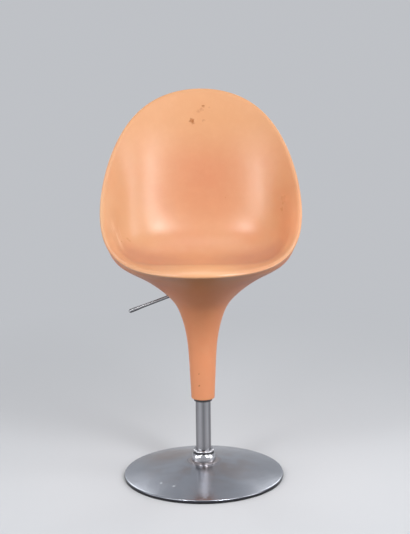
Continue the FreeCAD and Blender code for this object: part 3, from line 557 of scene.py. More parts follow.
def outer_row(size, front, side, back):
    """One ring of the outer skin between the neck and the rim."""
    neck = neck_radius(size, size.neck_top - size.stem_low)
    front_y = -neck - front[0] * (size.rim_front - neck)
    front_z = size.neck_top + front[1] * (size.rim_front_top - size.rim_outer - size.neck_top)
    side_x = neck + side[0] * (size.rim_side + size.rim_outer - neck)
    side_z = size.neck_top + side[1] * (size.rim_side_top - size.neck_top)
    back_y = neck + back[0] * (size.rim_back + size.rim_outer - neck)
    back_z = size.neck_top + back[1] * (size.rim_back_top - size.neck_top)
    corner = side[0] ** CORNER_POWER * size.rim_corner
    row = []
    for angle in ring_angles():
        x = side_x * math.sin(angle) + corner * math.sin(2.0 * angle)
        y = blend(front_y, size.rim_side_set * side[0] ** 2, back_y, angle)
        row.append(Vector((x, y, climb(front_z, side_z, back_z, angle))))
    return row


def stem_row(size, height):
    """One round ring of the stem."""
    radius = neck_radius(size, height)
    level = size.stem_low + height
    return [Vector((radius * math.sin(angle), -radius * math.cos(angle), level)) for angle in ring_angles()]


def through_points(row):
    """Poles of the closed curve that passes through a ring of points."""
    poles = [point.copy() for point in row]
    for _ in range(POLE_ROUNDS):
        before = poles[-1:] + poles[:-1]
        after = poles[1:] + poles[:1]
        bends = [(a - 2.0 * p + b) / 6.0 for a, p, b in zip(before, poles, after)]
        poles = [point - bend for point, bend in zip(row, bends)]
    return poles


def skin_rows(size):
    """All rings of the skin, from the pan over the rim and down to the foot of the stem."""
    rows = [bowl_row(size, *shares) for shares in zip(BOWL_FRONT, BOWL_SIDE, BOWL_BACK)]
    rows += [roll_row(size, turn) for turn in ROLL_TURNS]
    rows += [outer_row(size, *shares) for shares in zip(OUTER_FRONT, OUTER_SIDE, OUTER_BACK)]
    stem_height = size.neck_top - size.stem_low
    rows += [stem_row(size, stem_height * step / STEM_RINGS) for step in range(STEM_RINGS, -1, -1)]
    return [through_points(row) for row in rows]


def deselect():
    """Leave edit mode and select nothing."""
    if bpy.context.object and bpy.context.object.mode != "OBJECT":
        bpy.ops.object.mode_set(mode="OBJECT")
    bpy.ops.object.select_all(action="DESELECT")


def only(piece):
    """Select one piece and make it the active one."""
    deselect()
    piece.select_set(True)
    bpy.context.view_layer.objects.active = piece


def edit(piece, kind="VERT"):
    """Open one piece in edit mode, selecting by vertex, edge or face, and give its mesh."""
    only(piece)
    bpy.ops.object.mode_set(mode="EDIT")
    bpy.ops.mesh.select_mode(type=kind)
    return bmesh.from_edit_mesh(piece.data)


def settle(piece):
    """Leave edit mode and move the piece's place into its mesh."""
    only(piece)
    bpy.ops.object.transform_apply(location=True, rotation=True, scale=True)
    return piece


def apply_modifier(piece, kind, **options):
    """Add a modifier, set it and apply it."""
    only(piece)
    bpy.ops.object.modifier_add(type=kind)
    modifier = piece.modifiers[-1]
    for key, value in options.items():
        setattr(modifier, key, value)
    bpy.ops.object.modifier_apply(modifier=modifier.name)


def smooth(piece, angle):
    """Shade the piece smooth up to an angle in degrees."""
    only(piece)
    bpy.ops.object.shade_smooth_by_angle(angle=math.radians(angle))


def place_ring(mesh, steps, rings, row, number):
    """Move the selected ring of vertices on to a row of points."""
    for vertex in mesh.verts:
        if vertex.select:
            vertex.co = row[vertex[steps]]
            vertex[rings] = number


def extruded_skin(rows):
    """Draw a ring and extrude its edges from row to row, with the pan closed by a grid of faces."""
    deselect()
    bpy.ops.mesh.primitive_circle_add(vertices=RING_POINTS, radius=rows[0][0].length)
    piece = bpy.context.object
    mesh = edit(piece)
    bpy.ops.mesh.select_all(action="SELECT")
    mesh.verts.layers.int.new("step")
    mesh.verts.layers.int.new("ring")
    steps = mesh.verts.layers.int["step"]
    rings = mesh.verts.layers.int["ring"]
    for vertex in mesh.verts:
        turn = math.atan2(vertex.co.x, -vertex.co.y) / (2.0 * math.pi)
        vertex[steps] = round(turn * RING_POINTS) % RING_POINTS
    place_ring(mesh, steps, rings, rows[0], 0)
    for number, row in enumerate(rows[1:], 1):
        bpy.ops.mesh.extrude_edges_move()
        mesh = bmesh.from_edit_mesh(piece.data)
        steps = mesh.verts.layers.int["step"]
        rings = mesh.verts.layers.int["ring"]
        place_ring(mesh, steps, rings, row, number)
    bpy.ops.mesh.select_all(action="DESELECT")
    for edge in mesh.edges:
        ends = {vertex[rings] for vertex in edge.verts}
        edge.seam = ends == {PARTING_ROW}
        edge.select_set(ends == {0})
    bmesh.update_edit_mesh(piece.data)
    bpy.ops.mesh.fill_grid(span=RING_POINTS // 4)
    bpy.ops.mesh.select_all(action="SELECT")
    bpy.ops.mesh.normals_make_consistent(inside=False)
    return piece


def part_skin(piece):
    """Split the skin at its seam and give the seat and the outer half."""
    mesh = edit(piece, "EDGE")
    bpy.ops.mesh.select_all(action="DESELECT")
    for edge in mesh.edges:
        edge.select_set(edge.seam)
    bmesh.update_edit_mesh(piece.data)
    bpy.ops.mesh.edge_split(type="EDGE")
    bpy.ops.mesh.select_mode(type="VERT")
    bpy.ops.mesh.select_all(action="SELECT")
    bpy.ops.mesh.separate(type="LOOSE")
    bpy.ops.object.mode_set(mode="OBJECT")
    halves = sorted(bpy.context.selected_objects, key=lambda half: min(v.co.z for v in half.data.vertices))
    outer, seat = halves
    seat.name = "shell_seat"
    outer.name = "shell_outer"
    return seat, outer


def add_boss(size, x, y):
    """One screw boss under the pan: a cylinder with its hole sunk by inset and extrude."""
    low = BRACKET_HIGH.z
    high = size.pan_top - size.wall / 2.0
    deselect()
    bpy.ops.mesh.primitive_cylinder_add(vertices=CYLINDER_STEPS, radius=size.boss_radius, depth=high - low,
                                        location=(x, y, (low + high) / 2.0))
    boss = bpy.context.object
    mesh = edit(boss, "FACE")
    bpy.ops.mesh.select_all(action="DESELECT")
    lowest = min(mesh.faces, key=lambda face: face.calc_center_median().z)
    lowest.select_set(True)
    bmesh.update_edit_mesh(boss.data)
    bpy.ops.mesh.inset(thickness=size.boss_radius - size.boss_hole)
    sink = (0.0, 0.0, (high - low) * BOSS_HOLE_DEPTH)
    bpy.ops.mesh.extrude_region_move(TRANSFORM_OT_translate={"value": sink})
    return settle(boss)


def slot_cutter(size, metal):
    """The room that the lever sweeps in the stem, from released to lifted."""
    slope = metal.lever_slope
    line = Vector((-math.cos(slope), 0.0, -math.sin(slope)))
    start = metal.lever_start + SLOT_START
    radius = metal.lever_radius + size.slot_clearance
    middle = PIVOT + line * (start + metal.lever_length) / 2.0
    deselect()
    bpy.ops.mesh.primitive_cylinder_add(vertices=CYLINDER_STEPS, radius=radius,
                                        depth=metal.lever_length - start, location=middle,
                                        rotation=(0.0, -math.pi / 2.0 - slope, 0.0))
    cutter = settle(bpy.context.object)
    lift = Matrix.Rotation(math.radians(LEVER_JOINT["range_deg"][1]), 4, "Y")
    upward = Vector((-math.sin(slope), 0.0, math.cos(slope)))
    for vertex in cutter.data.vertices:
        arm = vertex.co - PIVOT
        if arm.dot(upward) > 0.0:
            vertex.co = PIVOT + lift @ arm
    return cutter


def lathe(name, profile, steps, closed=True):
    """Extrude a point along a profile of (radius, height) and spin it once round the column axis."""
    deselect()
    bpy.ops.mesh.primitive_plane_add(size=SEED_SIZE)
    piece = bpy.context.object
    piece.name = name
    mesh = edit(piece)
    bpy.ops.mesh.select_all(action="SELECT")
    bpy.ops.mesh.merge(type="CENTER")
    mesh = bmesh.from_edit_mesh(piece.data)
    radius, height = profile[0]
    mesh.verts.ensure_lookup_table()
    mesh.verts[0].co = (radius, 0.0, height)
    bmesh.update_edit_mesh(piece.data)
    path = list(profile[1:]) + ([profile[0]] if closed else [])
    for next_radius, next_height in path:
        step = (next_radius - radius, 0.0, next_height - height)
        bpy.ops.mesh.extrude_vertices_move(TRANSFORM_OT_translate={"value": step})
        radius, height = next_radius, next_height
    bpy.ops.mesh.select_all(action="SELECT")
    bpy.ops.mesh.spin(steps=steps, angle=2.0 * math.pi, center=(0.0, 0.0, 0.0), axis=(0.0, 0.0, 1.0))
    bpy.ops.mesh.select_all(action="SELECT")
    bpy.ops.mesh.remove_doubles(threshold=SAME_POINT)
    bpy.ops.mesh.normals_make_consistent(inside=False)
    settle(piece)
    smooth(piece, TURNED_SMOOTH)
    return piece


def arc(centre, radius, start, end, steps):
    """Points of (radius, height) on an arc, with the angles in degrees."""
    points = []
    for step in range(steps + 1):
        turn = math.radians(start + (end - start) * step / steps)
        points.append((centre[0] + radius * math.cos(turn), centre[1] + radius * math.sin(turn)))
    return points


def curve_through(points):
    """Points on a smooth curve through the given (radius, height) points."""
    ends = [points[0]] + list(points) + [points[-1]]
    result = []
    for a, b, c, d in zip(ends, ends[1:], ends[2:], ends[3:]):
        for step in range(CURVE_STEPS):
            t = step / CURVE_STEPS
            result.append(tuple(
                0.5 * (2.0 * q + (r - p) * t + (2.0 * p - 5.0 * q + 4.0 * r - s) * t ** 2
                       + (3.0 * q - p - 3.0 * r + s) * t ** 3)
                for p, q, r, s in zip(a, b, c, d)))
    return result + [tuple(points[-1])]


def finish(piece, material, body, slot, *nodes):
    """Give a piece its material, its body and the nodes that it stands for."""
    piece.data.materials.clear()
    piece.data.materials.append(material)
    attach(piece, body)
    if nodes:
        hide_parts(*nodes)


def put(tree, kind, values=None, links=None, **options):
    """Add a shader node, set its options and input values, and link its inputs."""
    node = tree.nodes.new("ShaderNode" + kind)
    for key, value in options.items():
        setattr(node, key, value)
    for key, value in (values or {}).items():
        node.inputs[key].default_value = value
    for key, socket in (links or {}).items():
        tree.links.new(socket, node.inputs[key])
    return node


def new_material(name):
    """A fresh material with its node tree, its shader and the Object coordinates."""
    material = bpy.data.materials.new(name)
    material.use_nodes = True
    tree = material.node_tree
    shader = tree.nodes["Principled BSDF"]
    place = put(tree, "TexCoord").outputs["Object"]
    return material, tree, shader, place


def mix_colour(tree, factor, first, second):
    """Mix two colours, each a colour or a socket."""
    node = put(tree, "Mix", data_type="RGBA")
    tree.links.new(factor, node.inputs[0])
    for index, colour in ((6, first), (7, second)):
        if isinstance(colour, bpy.types.NodeSocket):
            tree.links.new(colour, node.inputs[index])
        else:
            node.inputs[index].default_value = (*colour, 1.0)
    return node.outputs[2]


def spread(tree, socket, low, high, to_low=0.0, to_high=1.0):
    """Stretch a value's range from low..high to another, and clamp it."""
    return put(tree, "MapRange", {1: low, 2: high, 3: to_low, 4: to_high}, {0: socket}).outputs[0]


def noise(tree, place, scale, detail=3.0, roughness=0.55, stretch=None):
    """Noise at a scale, as a value between 0 and 1."""
    if stretch:
        place = put(tree, "Mapping", {"Scale": stretch}, {"Vector": place}).outputs[0]
    values = {"Scale": scale, "Detail": detail, "Roughness": roughness}
    return put(tree, "TexNoise", values, {"Vector": place}).outputs[0]


def times(tree, first, second):
    """Multiply two values, the second a number or a socket."""
    node = put(tree, "Math", links={0: first}, operation="MULTIPLY")
    if isinstance(second, bpy.types.NodeSocket):
        tree.links.new(second, node.inputs[1])
    else:
        node.inputs[1].default_value = second
    return node.outputs[0]


def larger(tree, first, second):
    """The larger of two values."""
    return put(tree, "Math", links={0: first, 1: second}, operation="MAXIMUM").outputs[0]


def bump(tree, shader, height, strength, distance):
    """Raise the surface by a height map."""
    node = put(tree, "Bump", {"Strength": strength, "Distance": distance}, {"Height": height})
    tree.links.new(node.outputs[0], shader.inputs["Normal"])


def away_from(tree, place, centre):
    """Distance of a point from a centre."""
    return put(tree, "VectorMath", {1: centre}, {0: place}, operation="DISTANCE").outputs["Value"]


def near_to(tree, place, centre, reach, core=0.0):
    """One within a share of the reach round a centre, falling to nothing at the reach."""
    return spread(tree, away_from(tree, place, centre), reach * core, reach, 1.0, 0.0)


def scaled(values, factor):
    """Each of the values times a factor."""
    return tuple(value * factor for value in values)


def cast_on(colour, cast):
    """A colour times a cast, channel by channel."""
    return tuple(value * part for value, part in zip(colour, cast))


def coat_metal(tree, shader, colour, roughness):
    """Give a metal the colour and the roughness that its nodes make."""
    tree.links.new(colour, shader.inputs["Base Color"])
    tree.links.new(roughness, shader.inputs["Roughness"])
    shader.inputs["Metallic"].default_value = 1.0


def marks(tree, place, spots, grain):
    """A mask of ragged marks at their places, each with its radius and depth."""
    shift = put(tree, "TexNoise", {"Scale": grain, "Detail": 2.0}, {"Vector": place}).outputs[1]
    ragged = put(tree, "VectorMath", {1: (-0.5, -0.5, -0.5)}, {0: shift}, operation="ADD").outputs[0]
    total = None
    for centre, radius, depth in spots:
        push = {"Scale": radius * MARK_PUSH}
        pushed = put(tree, "VectorMath", push, {0: ragged}, operation="SCALE").outputs[0]
        moved = put(tree, "VectorMath", links={0: place, 1: pushed}, operation="ADD").outputs[0]
        mask = spread(tree, away_from(tree, moved, centre), radius * MARK_CORE, radius, depth, 0.0)
        total = mask if total is None else larger(tree, total, mask)
    return total


def aged_plastic(tree, place, fresh, yellowed, top):
    """The plastic's tone: deeper in yellowed patches, with painted shade round the middle of the back and at the
    top, and painted light in paler patches.
    """
    # Painted shade: a deeper tone round the middle of the back; the random patches are the plastic's own
    back_shade = near_to(tree, place, BACK_MIDDLE, BACK_REACH)
    patchy = spread(tree, noise(tree, place, *YELLOWING), *YELLOWING_RANGE)
    colour = mix_colour(tree, larger(tree, back_shade, patchy), fresh, yellowed)
    # Painted shade at the top, darker and yellower, which tones down the lamps' sheen there
    colour = mix_colour(tree, top, colour, cast_on(fresh, TOP_SHADE_CAST))
    for centre, reach, cast in PAINTED_LIGHT_PATCHES:
        # Painted light and sheen in paler patches on the walls and the front lip
        pale = near_to(tree, place, centre, reach, PAINTED_LIGHT_CORE)
        tone = tuple(min(value, PALEST) for value in cast_on(fresh, cast))
        colour = mix_colour(tree, pale, colour, tone)
    return colour


def painted_pan_shade(tree, parts):
    """A mask of the painted shade on the pan behind the lip, stronger towards the sides."""
    across = put(tree, "Math", links={0: parts[0]}, operation="ABSOLUTE").outputs[0]
    pan_shade = times(tree, spread(tree, parts[1], *PAN_SHADE_BACK), spread(tree, parts[1], *PAN_SHADE_FRONT))
    pan_shade = times(tree, pan_shade, spread(tree, parts[2], *PAN_SHADE_UP))
    return times(tree, pan_shade, spread(tree, across, *PAN_SHADE_ASIDE))


def fine_scratches(tree, place):
    """A mask of the faint scratches low on one wall."""
    patch = near_to(tree, place, SCRATCH_PLACE, SCRATCH_REACH, SCRATCH_CORE)
    lines = spread(tree, noise(tree, place, *SCRATCHES), *SCRATCHES_RANGE)
    return times(tree, times(tree, lines, patch), SCRATCH_DEPTH)


def shell_plastic(name, fresh, yellowed, scuff, shine_level, dullness):
    """Peach moulded plastic: slightly yellowed, scuffed, with fine scratches, a soft shine, and painted light and
    shade in its tone.
    """
    material, tree, shader, place = new_material(name)
    parts = put(tree, "SeparateXYZ", links={0: place}).outputs
    top = spread(tree, parts[2], TOP_ZONE_LOW, MATT_TOP)
    colour = aged_plastic(tree, place, fresh, yellowed, top)
    # Painted shade on the pan behind the lip
    colour = mix_colour(tree, painted_pan_shade(tree, parts), colour, cast_on(fresh, PAN_SHADE_CAST))
    mottle = spread(tree, noise(tree, place, *MOTTLE), *MOTTLE_RANGE)
    colour = mix_colour(tree, mottle, colour, MOTTLE_TONE)
    grime = spread(tree, noise(tree, place, *GRIME), *GRIME_RANGE)
    colour = mix_colour(tree, grime, colour, GRIME_TONE)
    colour = mix_colour(tree, marks(tree, place, BACK_SCUFFS + STEM_SPOTS, SCUFF_GRAIN), colour, scuff)
    colour = mix_colour(tree, fine_scratches(tree, place), colour, SCRATCH_TONE)
    tree.links.new(colour, shader.inputs["Base Color"])
    shine = spread(tree, noise(tree, place, *SHINE), *SHINE_RANGE, *scaled(SHINE_SPREAD, dullness))
    dulled = spread(tree, top, 0.0, 1.0, 1.0, TOP_DULLNESS)
    tree.links.new(times(tree, shine, dulled), shader.inputs["Roughness"])
    shader.inputs["Specular IOR Level"].default_value = shine_level
    shader.inputs["IOR"].default_value = 1.5
    shader.inputs["Subsurface Weight"].default_value = 0.06
    shader.inputs["Subsurface Radius"].default_value = (0.012, 0.005, 0.003)
    shader.inputs["Subsurface Scale"].default_value = 0.4
    bump(tree, shader, noise(tree, place, *SKIN_GRAIN), SKIN_STRENGTH, SKIN_DEPTH)
    return material


def axis_distance(tree, place):
    """Distance of a point from the column axis."""
    level = put(tree, "VectorMath", {1: (1.0, 1.0, 0.0)}, {0: place}, operation="MULTIPLY").outputs[0]
    return put(tree, "VectorMath", links={0: level}, operation="LENGTH").outputs["Value"]


def grooves(tree, shader, place, scale, strength):
    """Very fine turning marks round the column axis."""
    rings = put(tree, "TexWave", {"Scale": scale, "Distortion": 0.6, "Detail": 2.0, "Detail Scale": 4.0},
                {"Vector": place}, wave_type="RINGS", rings_direction="Z").outputs[1]
    bump(tree, shader, rings, strength, GROOVE_DEPTH)


def spun_disc(colours):
    """Satin spun sheet: cloudy, with a brownish tone near the collar that is partly film and partly painted
    reflection of the seat, two specks and a painted dark reflection on its edge.
    """
    material, tree, shader, place = new_material("spun_disc")
    cloud = spread(tree, noise(tree, place, *DISC_CLOUD), *DISC_CLOUD_RANGE)
    colour = mix_colour(tree, cloud, colours.disc, scaled(colours.disc, DISC_SHADE))
    away = axis_distance(tree, place)
    clumps = noise(tree, place, *DISC_CLUMPS)
    # Brownish tone near the collar and in a patch behind it: partly film, partly painted reflection of the seat
    film = times(tree, spread(tree, clumps, *FILM_AND_REFLECTION_RANGE), spread(tree, away, *FILM_AND_REFLECTION_FADE))
    patch = near_to(tree, place, FILM_AND_REFLECTION_PLACE, FILM_AND_REFLECTION_REACH, FILM_AND_REFLECTION_CORE)
    film = larger(tree, film, times(tree, spread(tree, clumps, *FILM_AND_REFLECTION_PATCH_RANGE), patch))
    # The hub's ring: painted reflection of the seat round the collar, also rougher
    hub = spread(tree, away, *HUB_FADE)
    film = larger(tree, film, times(tree, hub, HUB_REFLECTION))
    colour = mix_colour(tree, film, colour, colours.disc_film_and_reflection)
    colour = mix_colour(tree, marks(tree, place, DISC_SPECKS, SPECK_GRAIN), colour, SPECK_TONE)
    # Painted dark reflection on the disc's side, below its rounded edge
    height = put(tree, "SeparateXYZ", links={0: place}).outputs[2]
    colour = mix_colour(tree, spread(tree, height, *SIDE_REFLECTION_FADE), colour, colours.disc_side_reflection)
    wipe = spread(tree, noise(tree, place, *DISC_WIPE), *DISC_WIPE_RANGE)
    coat_metal(tree, shader, colour, larger(tree, wipe, times(tree, hub, HUB_ROUGHNESS)))
    grooves(tree, shader, place, *DISC_GROOVES)
    return material


def turned_alloy(colours):
    """Light alloy turned about the axis, with fine grooves and a cloudy shine."""
    material, tree, shader, place = new_material("turned_alloy")
    cloud = spread(tree, noise(tree, place, *ALLOY_CLOUD), *ALLOY_CLOUD_RANGE)
    shade = mix_colour(tree, cloud, colours.alloy, scaled(colours.alloy, ALLOY_SHADE))
    coat_metal(tree, shader, shade, spread(tree, cloud, *ALLOY_ROUGHNESS))
    grooves(tree, shader, place, *ALLOY_GROOVES)
    return material


def polished_plating(colours):
    """Bright plating over drawn and turned metal: painted reflections as light and dark bands along it, and faint
    pits.
    """
    material, tree, shader, place = new_material("polished_plating")
    parts = put(tree, "SeparateXYZ", links={0: place}).outputs
    # Painted reflections: bands round the column and streaks along it, mixed between a lit and a dark tone
    turn = put(tree, "Math", links={0: parts[0], 1: parts[1]}, operation="ARCTAN2").outputs[0]
    bands = put(tree, "Math", links={0: times(tree, turn, COLUMN_REFLECTION_BANDS)}, operation="COSINE").outputs[0]
    lines = noise(tree, place, *COLUMN_STREAKS)
    depth = {1: COLUMN_REFLECTION_DEPTH}
    tone = put(tree, "Math", depth, {0: bands, 2: lines}, operation="MULTIPLY_ADD").outputs[0]
    bright, dark = scaled(colours.chrome, COLUMN_BRIGHT), scaled(colours.chrome, COLUMN_DARK)
    shade = mix_colour(tree, spread(tree, tone, *COLUMN_REFLECTION_RANGE), bright, dark)
    pits = spread(tree, noise(tree, place, *COLUMN_PITS), *COLUMN_PITS_RANGE)
    shade = mix_colour(tree, pits, shade, dark)
    coat_metal(tree, shader, shade, spread(tree, noise(tree, place, *COLUMN_WIPE), *COLUMN_WIPE_RANGE))
    return material


def collar_plating(colours):
    """Bright plating of the collar: a painted dark reflection below its bead, a painted highlight on the foot of
    the bell, softly dulled.
    """
    material, tree, shader, place = new_material("collar_plating")
    bead = bpy.context.scene.stool_metal.collar_bead
    height = put(tree, "SeparateXYZ", links={0: place}).outputs[2]
    # Painted dark reflection below the bead and painted highlight on the foot of the bell, in bands of height
    under_bead_reflection = spread(tree, height, *[COLLAR_HIGH.z - bead * part for part in UNDER_BEAD_REFLECTION], 1.0, 0.0)
    bell_foot_highlight = spread(tree, height, *[COLLAR_HIGH.z - bead * part for part in BELL_FOOT_HIGHLIGHT])
    bright, dark = scaled(colours.chrome, COLLAR_BRIGHT), scaled(colours.chrome, COLLAR_DARK)
    shade = mix_colour(tree, times(tree, under_bead_reflection, bell_foot_highlight), bright, dark)
    cloud = spread(tree, noise(tree, place, *COLLAR_CLOUD), *COLLAR_CLOUD_RANGE)
    shade = mix_colour(tree, cloud, shade, dark)
    coat_metal(tree, shader, shade, spread(tree, cloud, *COLLAR_ROUGHNESS))
    return material


def lever_plating(colours):
    """Plating of the lever: a painted highlight along its middle, painted dark reflections along both edges,
    dulled in patches.
    """
    material, tree, shader, place = new_material("lever_plating")
    metal = bpy.context.scene.stool_metal
    upward = Vector((-math.sin(metal.lever_slope), 0.0, math.cos(metal.lever_slope)))
    level = put(tree, "VectorMath", {1: upward}, {0: place}, operation="DOT_PRODUCT").outputs["Value"]
    middle = PIVOT.dot(upward)
    # Painted highlight along the middle and painted dark reflections along both edges
    lit = spread(tree, level, *[middle + metal.lever_radius * part for part in LEVER_HIGHLIGHT])
    edge = spread(tree, level, *[middle + metal.lever_radius * part for part in LEVER_EDGE_REFLECTION], 1.0, 0.0)
    dark = scaled(colours.lever_chrome, LEVER_DARK)
    shade = mix_colour(tree, times(tree, lit, edge), dark, colours.lever_chrome)
    cloud = spread(tree, noise(tree, place, *LEVER_CLOUD), *LEVER_CLOUD_RANGE)
    shade = mix_colour(tree, cloud, shade, dark)
    coat_metal(tree, shader, shade, spread(tree, cloud, *LEVER_ROUGHNESS))
    return material


def rough_coat(name, colour, scale, roughness, strength, metallic):
    """A plain coat or casting: an uneven tone, shine and skin at one grain size."""
    material, tree, shader, place = new_material(name)
    grain = noise(tree, place, scale, *COAT_GRAIN)
    light = tuple(min(1.0, value * COAT_LIGHTER + COAT_LIFT) for value in colour)
    shade = mix_colour(tree, spread(tree, grain, *COAT_GRAIN_RANGE), colour, light)
    tree.links.new(shade, shader.inputs["Base Color"])
    shader.inputs["Metallic"].default_value = metallic
    wipe = noise(tree, place, scale * COAT_WIPE)
    blur = spread(tree, wipe, *COAT_WIPE_RANGE, *scaled(COAT_WIPE_SPREAD, roughness))
    tree.links.new(blur, shader.inputs["Roughness"])
    bump(tree, shader, grain, strength, COAT_DEPTH)
    return material


def build_materials(colours):
    """Make every finish once, under its own name."""
    shell_plastic("shell_plastic", colours.shell, colours.shell_deep, colours.scuff, shine_level=0.60,
                  dullness=0.31)
    # The outside takes a lighter copy of the seat's colour: painted light under the seat
    shell_plastic("shell_outside", colours.outside, colours.outside_deep, colours.scuff, shine_level=0.16,
                  dullness=0.42)
    polished_plating(colours)
    collar_plating(colours)
    lever_plating(colours)
    spun_disc(colours)
    turned_alloy(colours)
    for name, (setting, *coat) in PLAIN_COATS.items():
        rough_coat(name, getattr(colours, setting), *coat)


def material_for(slot):
    """The finish of a slot, made the first time that one is asked for."""
    name = FINISH_OF_SLOT[slot]
    if name not in bpy.data.materials:
        build_materials(bpy.context.scene.stool_finish)
    return bpy.data.materials[name]


class STOOL_OT_add_shells(Operator):
    """Model the seat shell and the outer shell from one skin, split at the parting line"""

    bl_idname = "stool.add_shells"
    bl_label = "Shells"

    def execute(self, context):
        size = context.scene.stool_shell
        metal = context.scene.stool_metal
        skin = extruded_skin(skin_rows(size))
        apply_modifier(skin, "SUBSURF", levels=size.smoothness, render_levels=size.smoothness)
        seat, outer = part_skin(skin)
        for half in (seat, outer):
            apply_modifier(half, "SOLIDIFY", thickness=size.wall, offset=-1.0, use_even_offset=True)
        cutter = slot_cutter(size, metal)
        apply_modifier(outer, "BOOLEAN", operation="DIFFERENCE", object=cutter, solver="EXACT")
        bpy.data.objects.remove(cutter)
        for half in (seat, outer):
            apply_modifier(half, "BEVEL", width=size.groove, segments=GROOVE_STEPS, limit_method="ANGLE",
                           angle_limit=math.radians(GROOVE_ANGLE))
        bosses = [add_boss(size, x, y)
                  for x in (-size.boss_x, size.boss_x)
                  for y in (-size.boss_y, size.boss_y)]
        only(seat)
        for boss in bosses:
            boss.select_set(True)
        bpy.ops.object.join()
        inside = material_for("orange_shell")
        outside = bpy.data.materials["shell_outside"]
        for half, material, node in ((seat, inside, "seat_shell"), (outer, outside, "outer_shell")):
            smooth(half, SHELL_SMOOTH)
            finish(half, material, "seat", "orange_shell", node)
        return {"FINISHED"}


class STOOL_OT_add_disc(Operator):
    """Turn the base disc: a shallow cone of sheet with a rounded edge"""

    bl_idname = "stool.add_disc"
    bl_label = "Base disc"

    def execute(self, context):
        size = context.scene.stool_metal
        outer_radius = DISC_HIGH.x
        hub_top = DISC_HIGH.z
        hole = TUBE_HIGH.x + size.tube_gap
        fall = (hub_top - size.disc_edge) / (outer_radius - size.disc_round - size.disc_hub)
        tilt = math.degrees(math.atan(fall))
        middle = (outer_radius - size.disc_round, size.disc_edge - size.disc_round)
        top = [(hole, hub_top), (size.disc_hub - HUB_EASE, hub_top),
               (size.disc_hub + HUB_EASE, hub_top - HUB_DROP)]
        edge = arc(middle, size.disc_round, 90.0 - tilt, 0.0, EDGE_STEPS)
        inner_edge = arc(middle, size.disc_round - size.disc_sheet, 0.0, 90.0 - tilt, INNER_EDGE_STEPS)
        foot = [(outer_radius, DISC_LOW.z), (outer_radius - size.disc_sheet, DISC_LOW.z)]
        under = [(size.disc_hub, hub_top - size.disc_sheet), (hole, hub_top - size.disc_sheet)]
        disc = lathe("base_disc", top + edge + foot + inner_edge + under, size.turned_steps)
        finish(disc, material_for("satin_disc"), "base", "satin_disc", "base_cover")
        return {"FINISHED"}


class STOOL_OT_add_collar(Operator):
    """Turn the chromed collar round the foot of the column"""

    bl_idname = "stool.add_collar"
    bl_label = "Foot collar"

    def execute(self, context):
        size = context.scene.stool_metal
        low, high = COLLAR_LOW.z, COLLAR_HIGH.z
        bore = TUBE_HIGH.x + size.tube_gap
        bead = size.collar_bead / 2.0
        bead_middle = size.collar_lip - bead
        bead_low = high - size.collar_bead
        wide = COLLAR_HIGH.x
        bell = [(bead_middle, bead_low)]
        for out, down in COLLAR_BELL:
            bell.append((bead_middle + out * (wide - bead_middle), bead_low + down * (low - bead_low)))
        lip = arc((bead_middle, high - bead), bead, 90.0, -90.0, BEAD_STEPS)[:-1]
        ceiling = bead_low - COLLAR_CEILING
        inside = [(wide - size.collar_wall, low), (wide - size.collar_wall, bead_low - COLLAR_HOLLOW),
                  (bead_middle - size.collar_wall, ceiling), (bore, ceiling)]
        profile = [(bore, high - EDGE_BREAK), (bore + EDGE_BREAK, high)] + lip + curve_through(bell) + inside
        collar = lathe("collar", profile, size.turned_steps)
        material_for("bright_chrome")
        finish(collar, bpy.data.materials["collar_plating"], "base", "bright_chrome", "foot_collar")
        return {"FINISHED"}


class STOOL_OT_add_stem_ring(Operator):
    """Turn the plastic guide whose ring shows below the stem"""

    bl_idname = "stool.add_stem_ring"
    bl_label = "Stem ring"

    def execute(self, context):
        size = context.scene.stool_metal
        bore = TUBE_HIGH.x + size.tube_gap
        plug = BUSH_HIGH.x
        nose = size.bush_nose_radius
        low, high = BUSH_LOW.z, BUSH_HIGH.z
        step = low + size.bush_nose
        cut = size.bush_chamfer
        ease = cut * RING_EASE
        profile = [(bore + cut / 2.0, low), (nose - cut, low), (nose - ease, low + ease), (nose, low + cut),
                   (nose, step), (plug - cut / 2.0, step), (plug, step + cut / 2.0), (plug, high - cut),
                   (plug - cut, high), (bore, high), (bore, low + cut / 2.0)]
        ring = lathe("stem_ring", profile, size.turned_steps)
        finish(ring, material_for("grey_plastic"), "seat", "grey_plastic", "stem_bush")
        return {"FINISHED"}


class STOOL_OT_add_lever(Operator):
    """Turn the chromed lever with its swollen, rounded tip and lay it on its line"""

    bl_idname = "stool.add_lever"
    bl_label = "Lever"

    def execute(self, context):
        size = context.scene.stool_metal
        tip_middle = size.lever_length - size.lever_tip
        grip = size.lever_length - size.lever_grip
        swell = [(size.lever_radius, grip),
                 (size.lever_radius * GRIP_GROWTH, grip + size.lever_grip * GRIP_AT),
                 (size.lever_tip * TIP_GROWTH, tip_middle - TIP_BACK), (size.lever_tip, tip_middle)]
        end = arc((0.0, tip_middle), size.lever_tip, 0.0, 90.0, TIP_STEPS)[1:-1]
        start = [(0.0, size.lever_start), (size.lever_radius - EDGE_BREAK, size.lever_start),
                 (size.lever_radius, size.lever_start + EDGE_BREAK)]
        profile = start + curve_through(swell) + end + [(0.0, size.lever_length)]
        lever = lathe("lever", profile, LEVER_STEPS, closed=False)
        turn = Matrix.Rotation(-math.pi / 2.0 - size.lever_slope, 4, "Y")
        lever.matrix_world = Matrix.Translation(PIVOT) @ turn
        settle(lever)
        material_for("bright_chrome")
        finish(lever, bpy.data.materials["lever_plating"], "lever", "bright_chrome", "lever_rod")
        return {"FINISHED"}


class STOOL_OT_finish_frame(Operator):
    """Give every piece of the frame that still shows its own finish"""

    bl_idname = "stool.finish_frame"
    bl_label = "Frame finishes"

    def execute(self, context):
        for entry in frame["record"]["subparts"]:
            node = frame["nodes"][entry["node"]]
            node.data.materials.clear()
            node.data.materials.append(material_for(entry["material_slot"]))
        return {"FINISHED"}


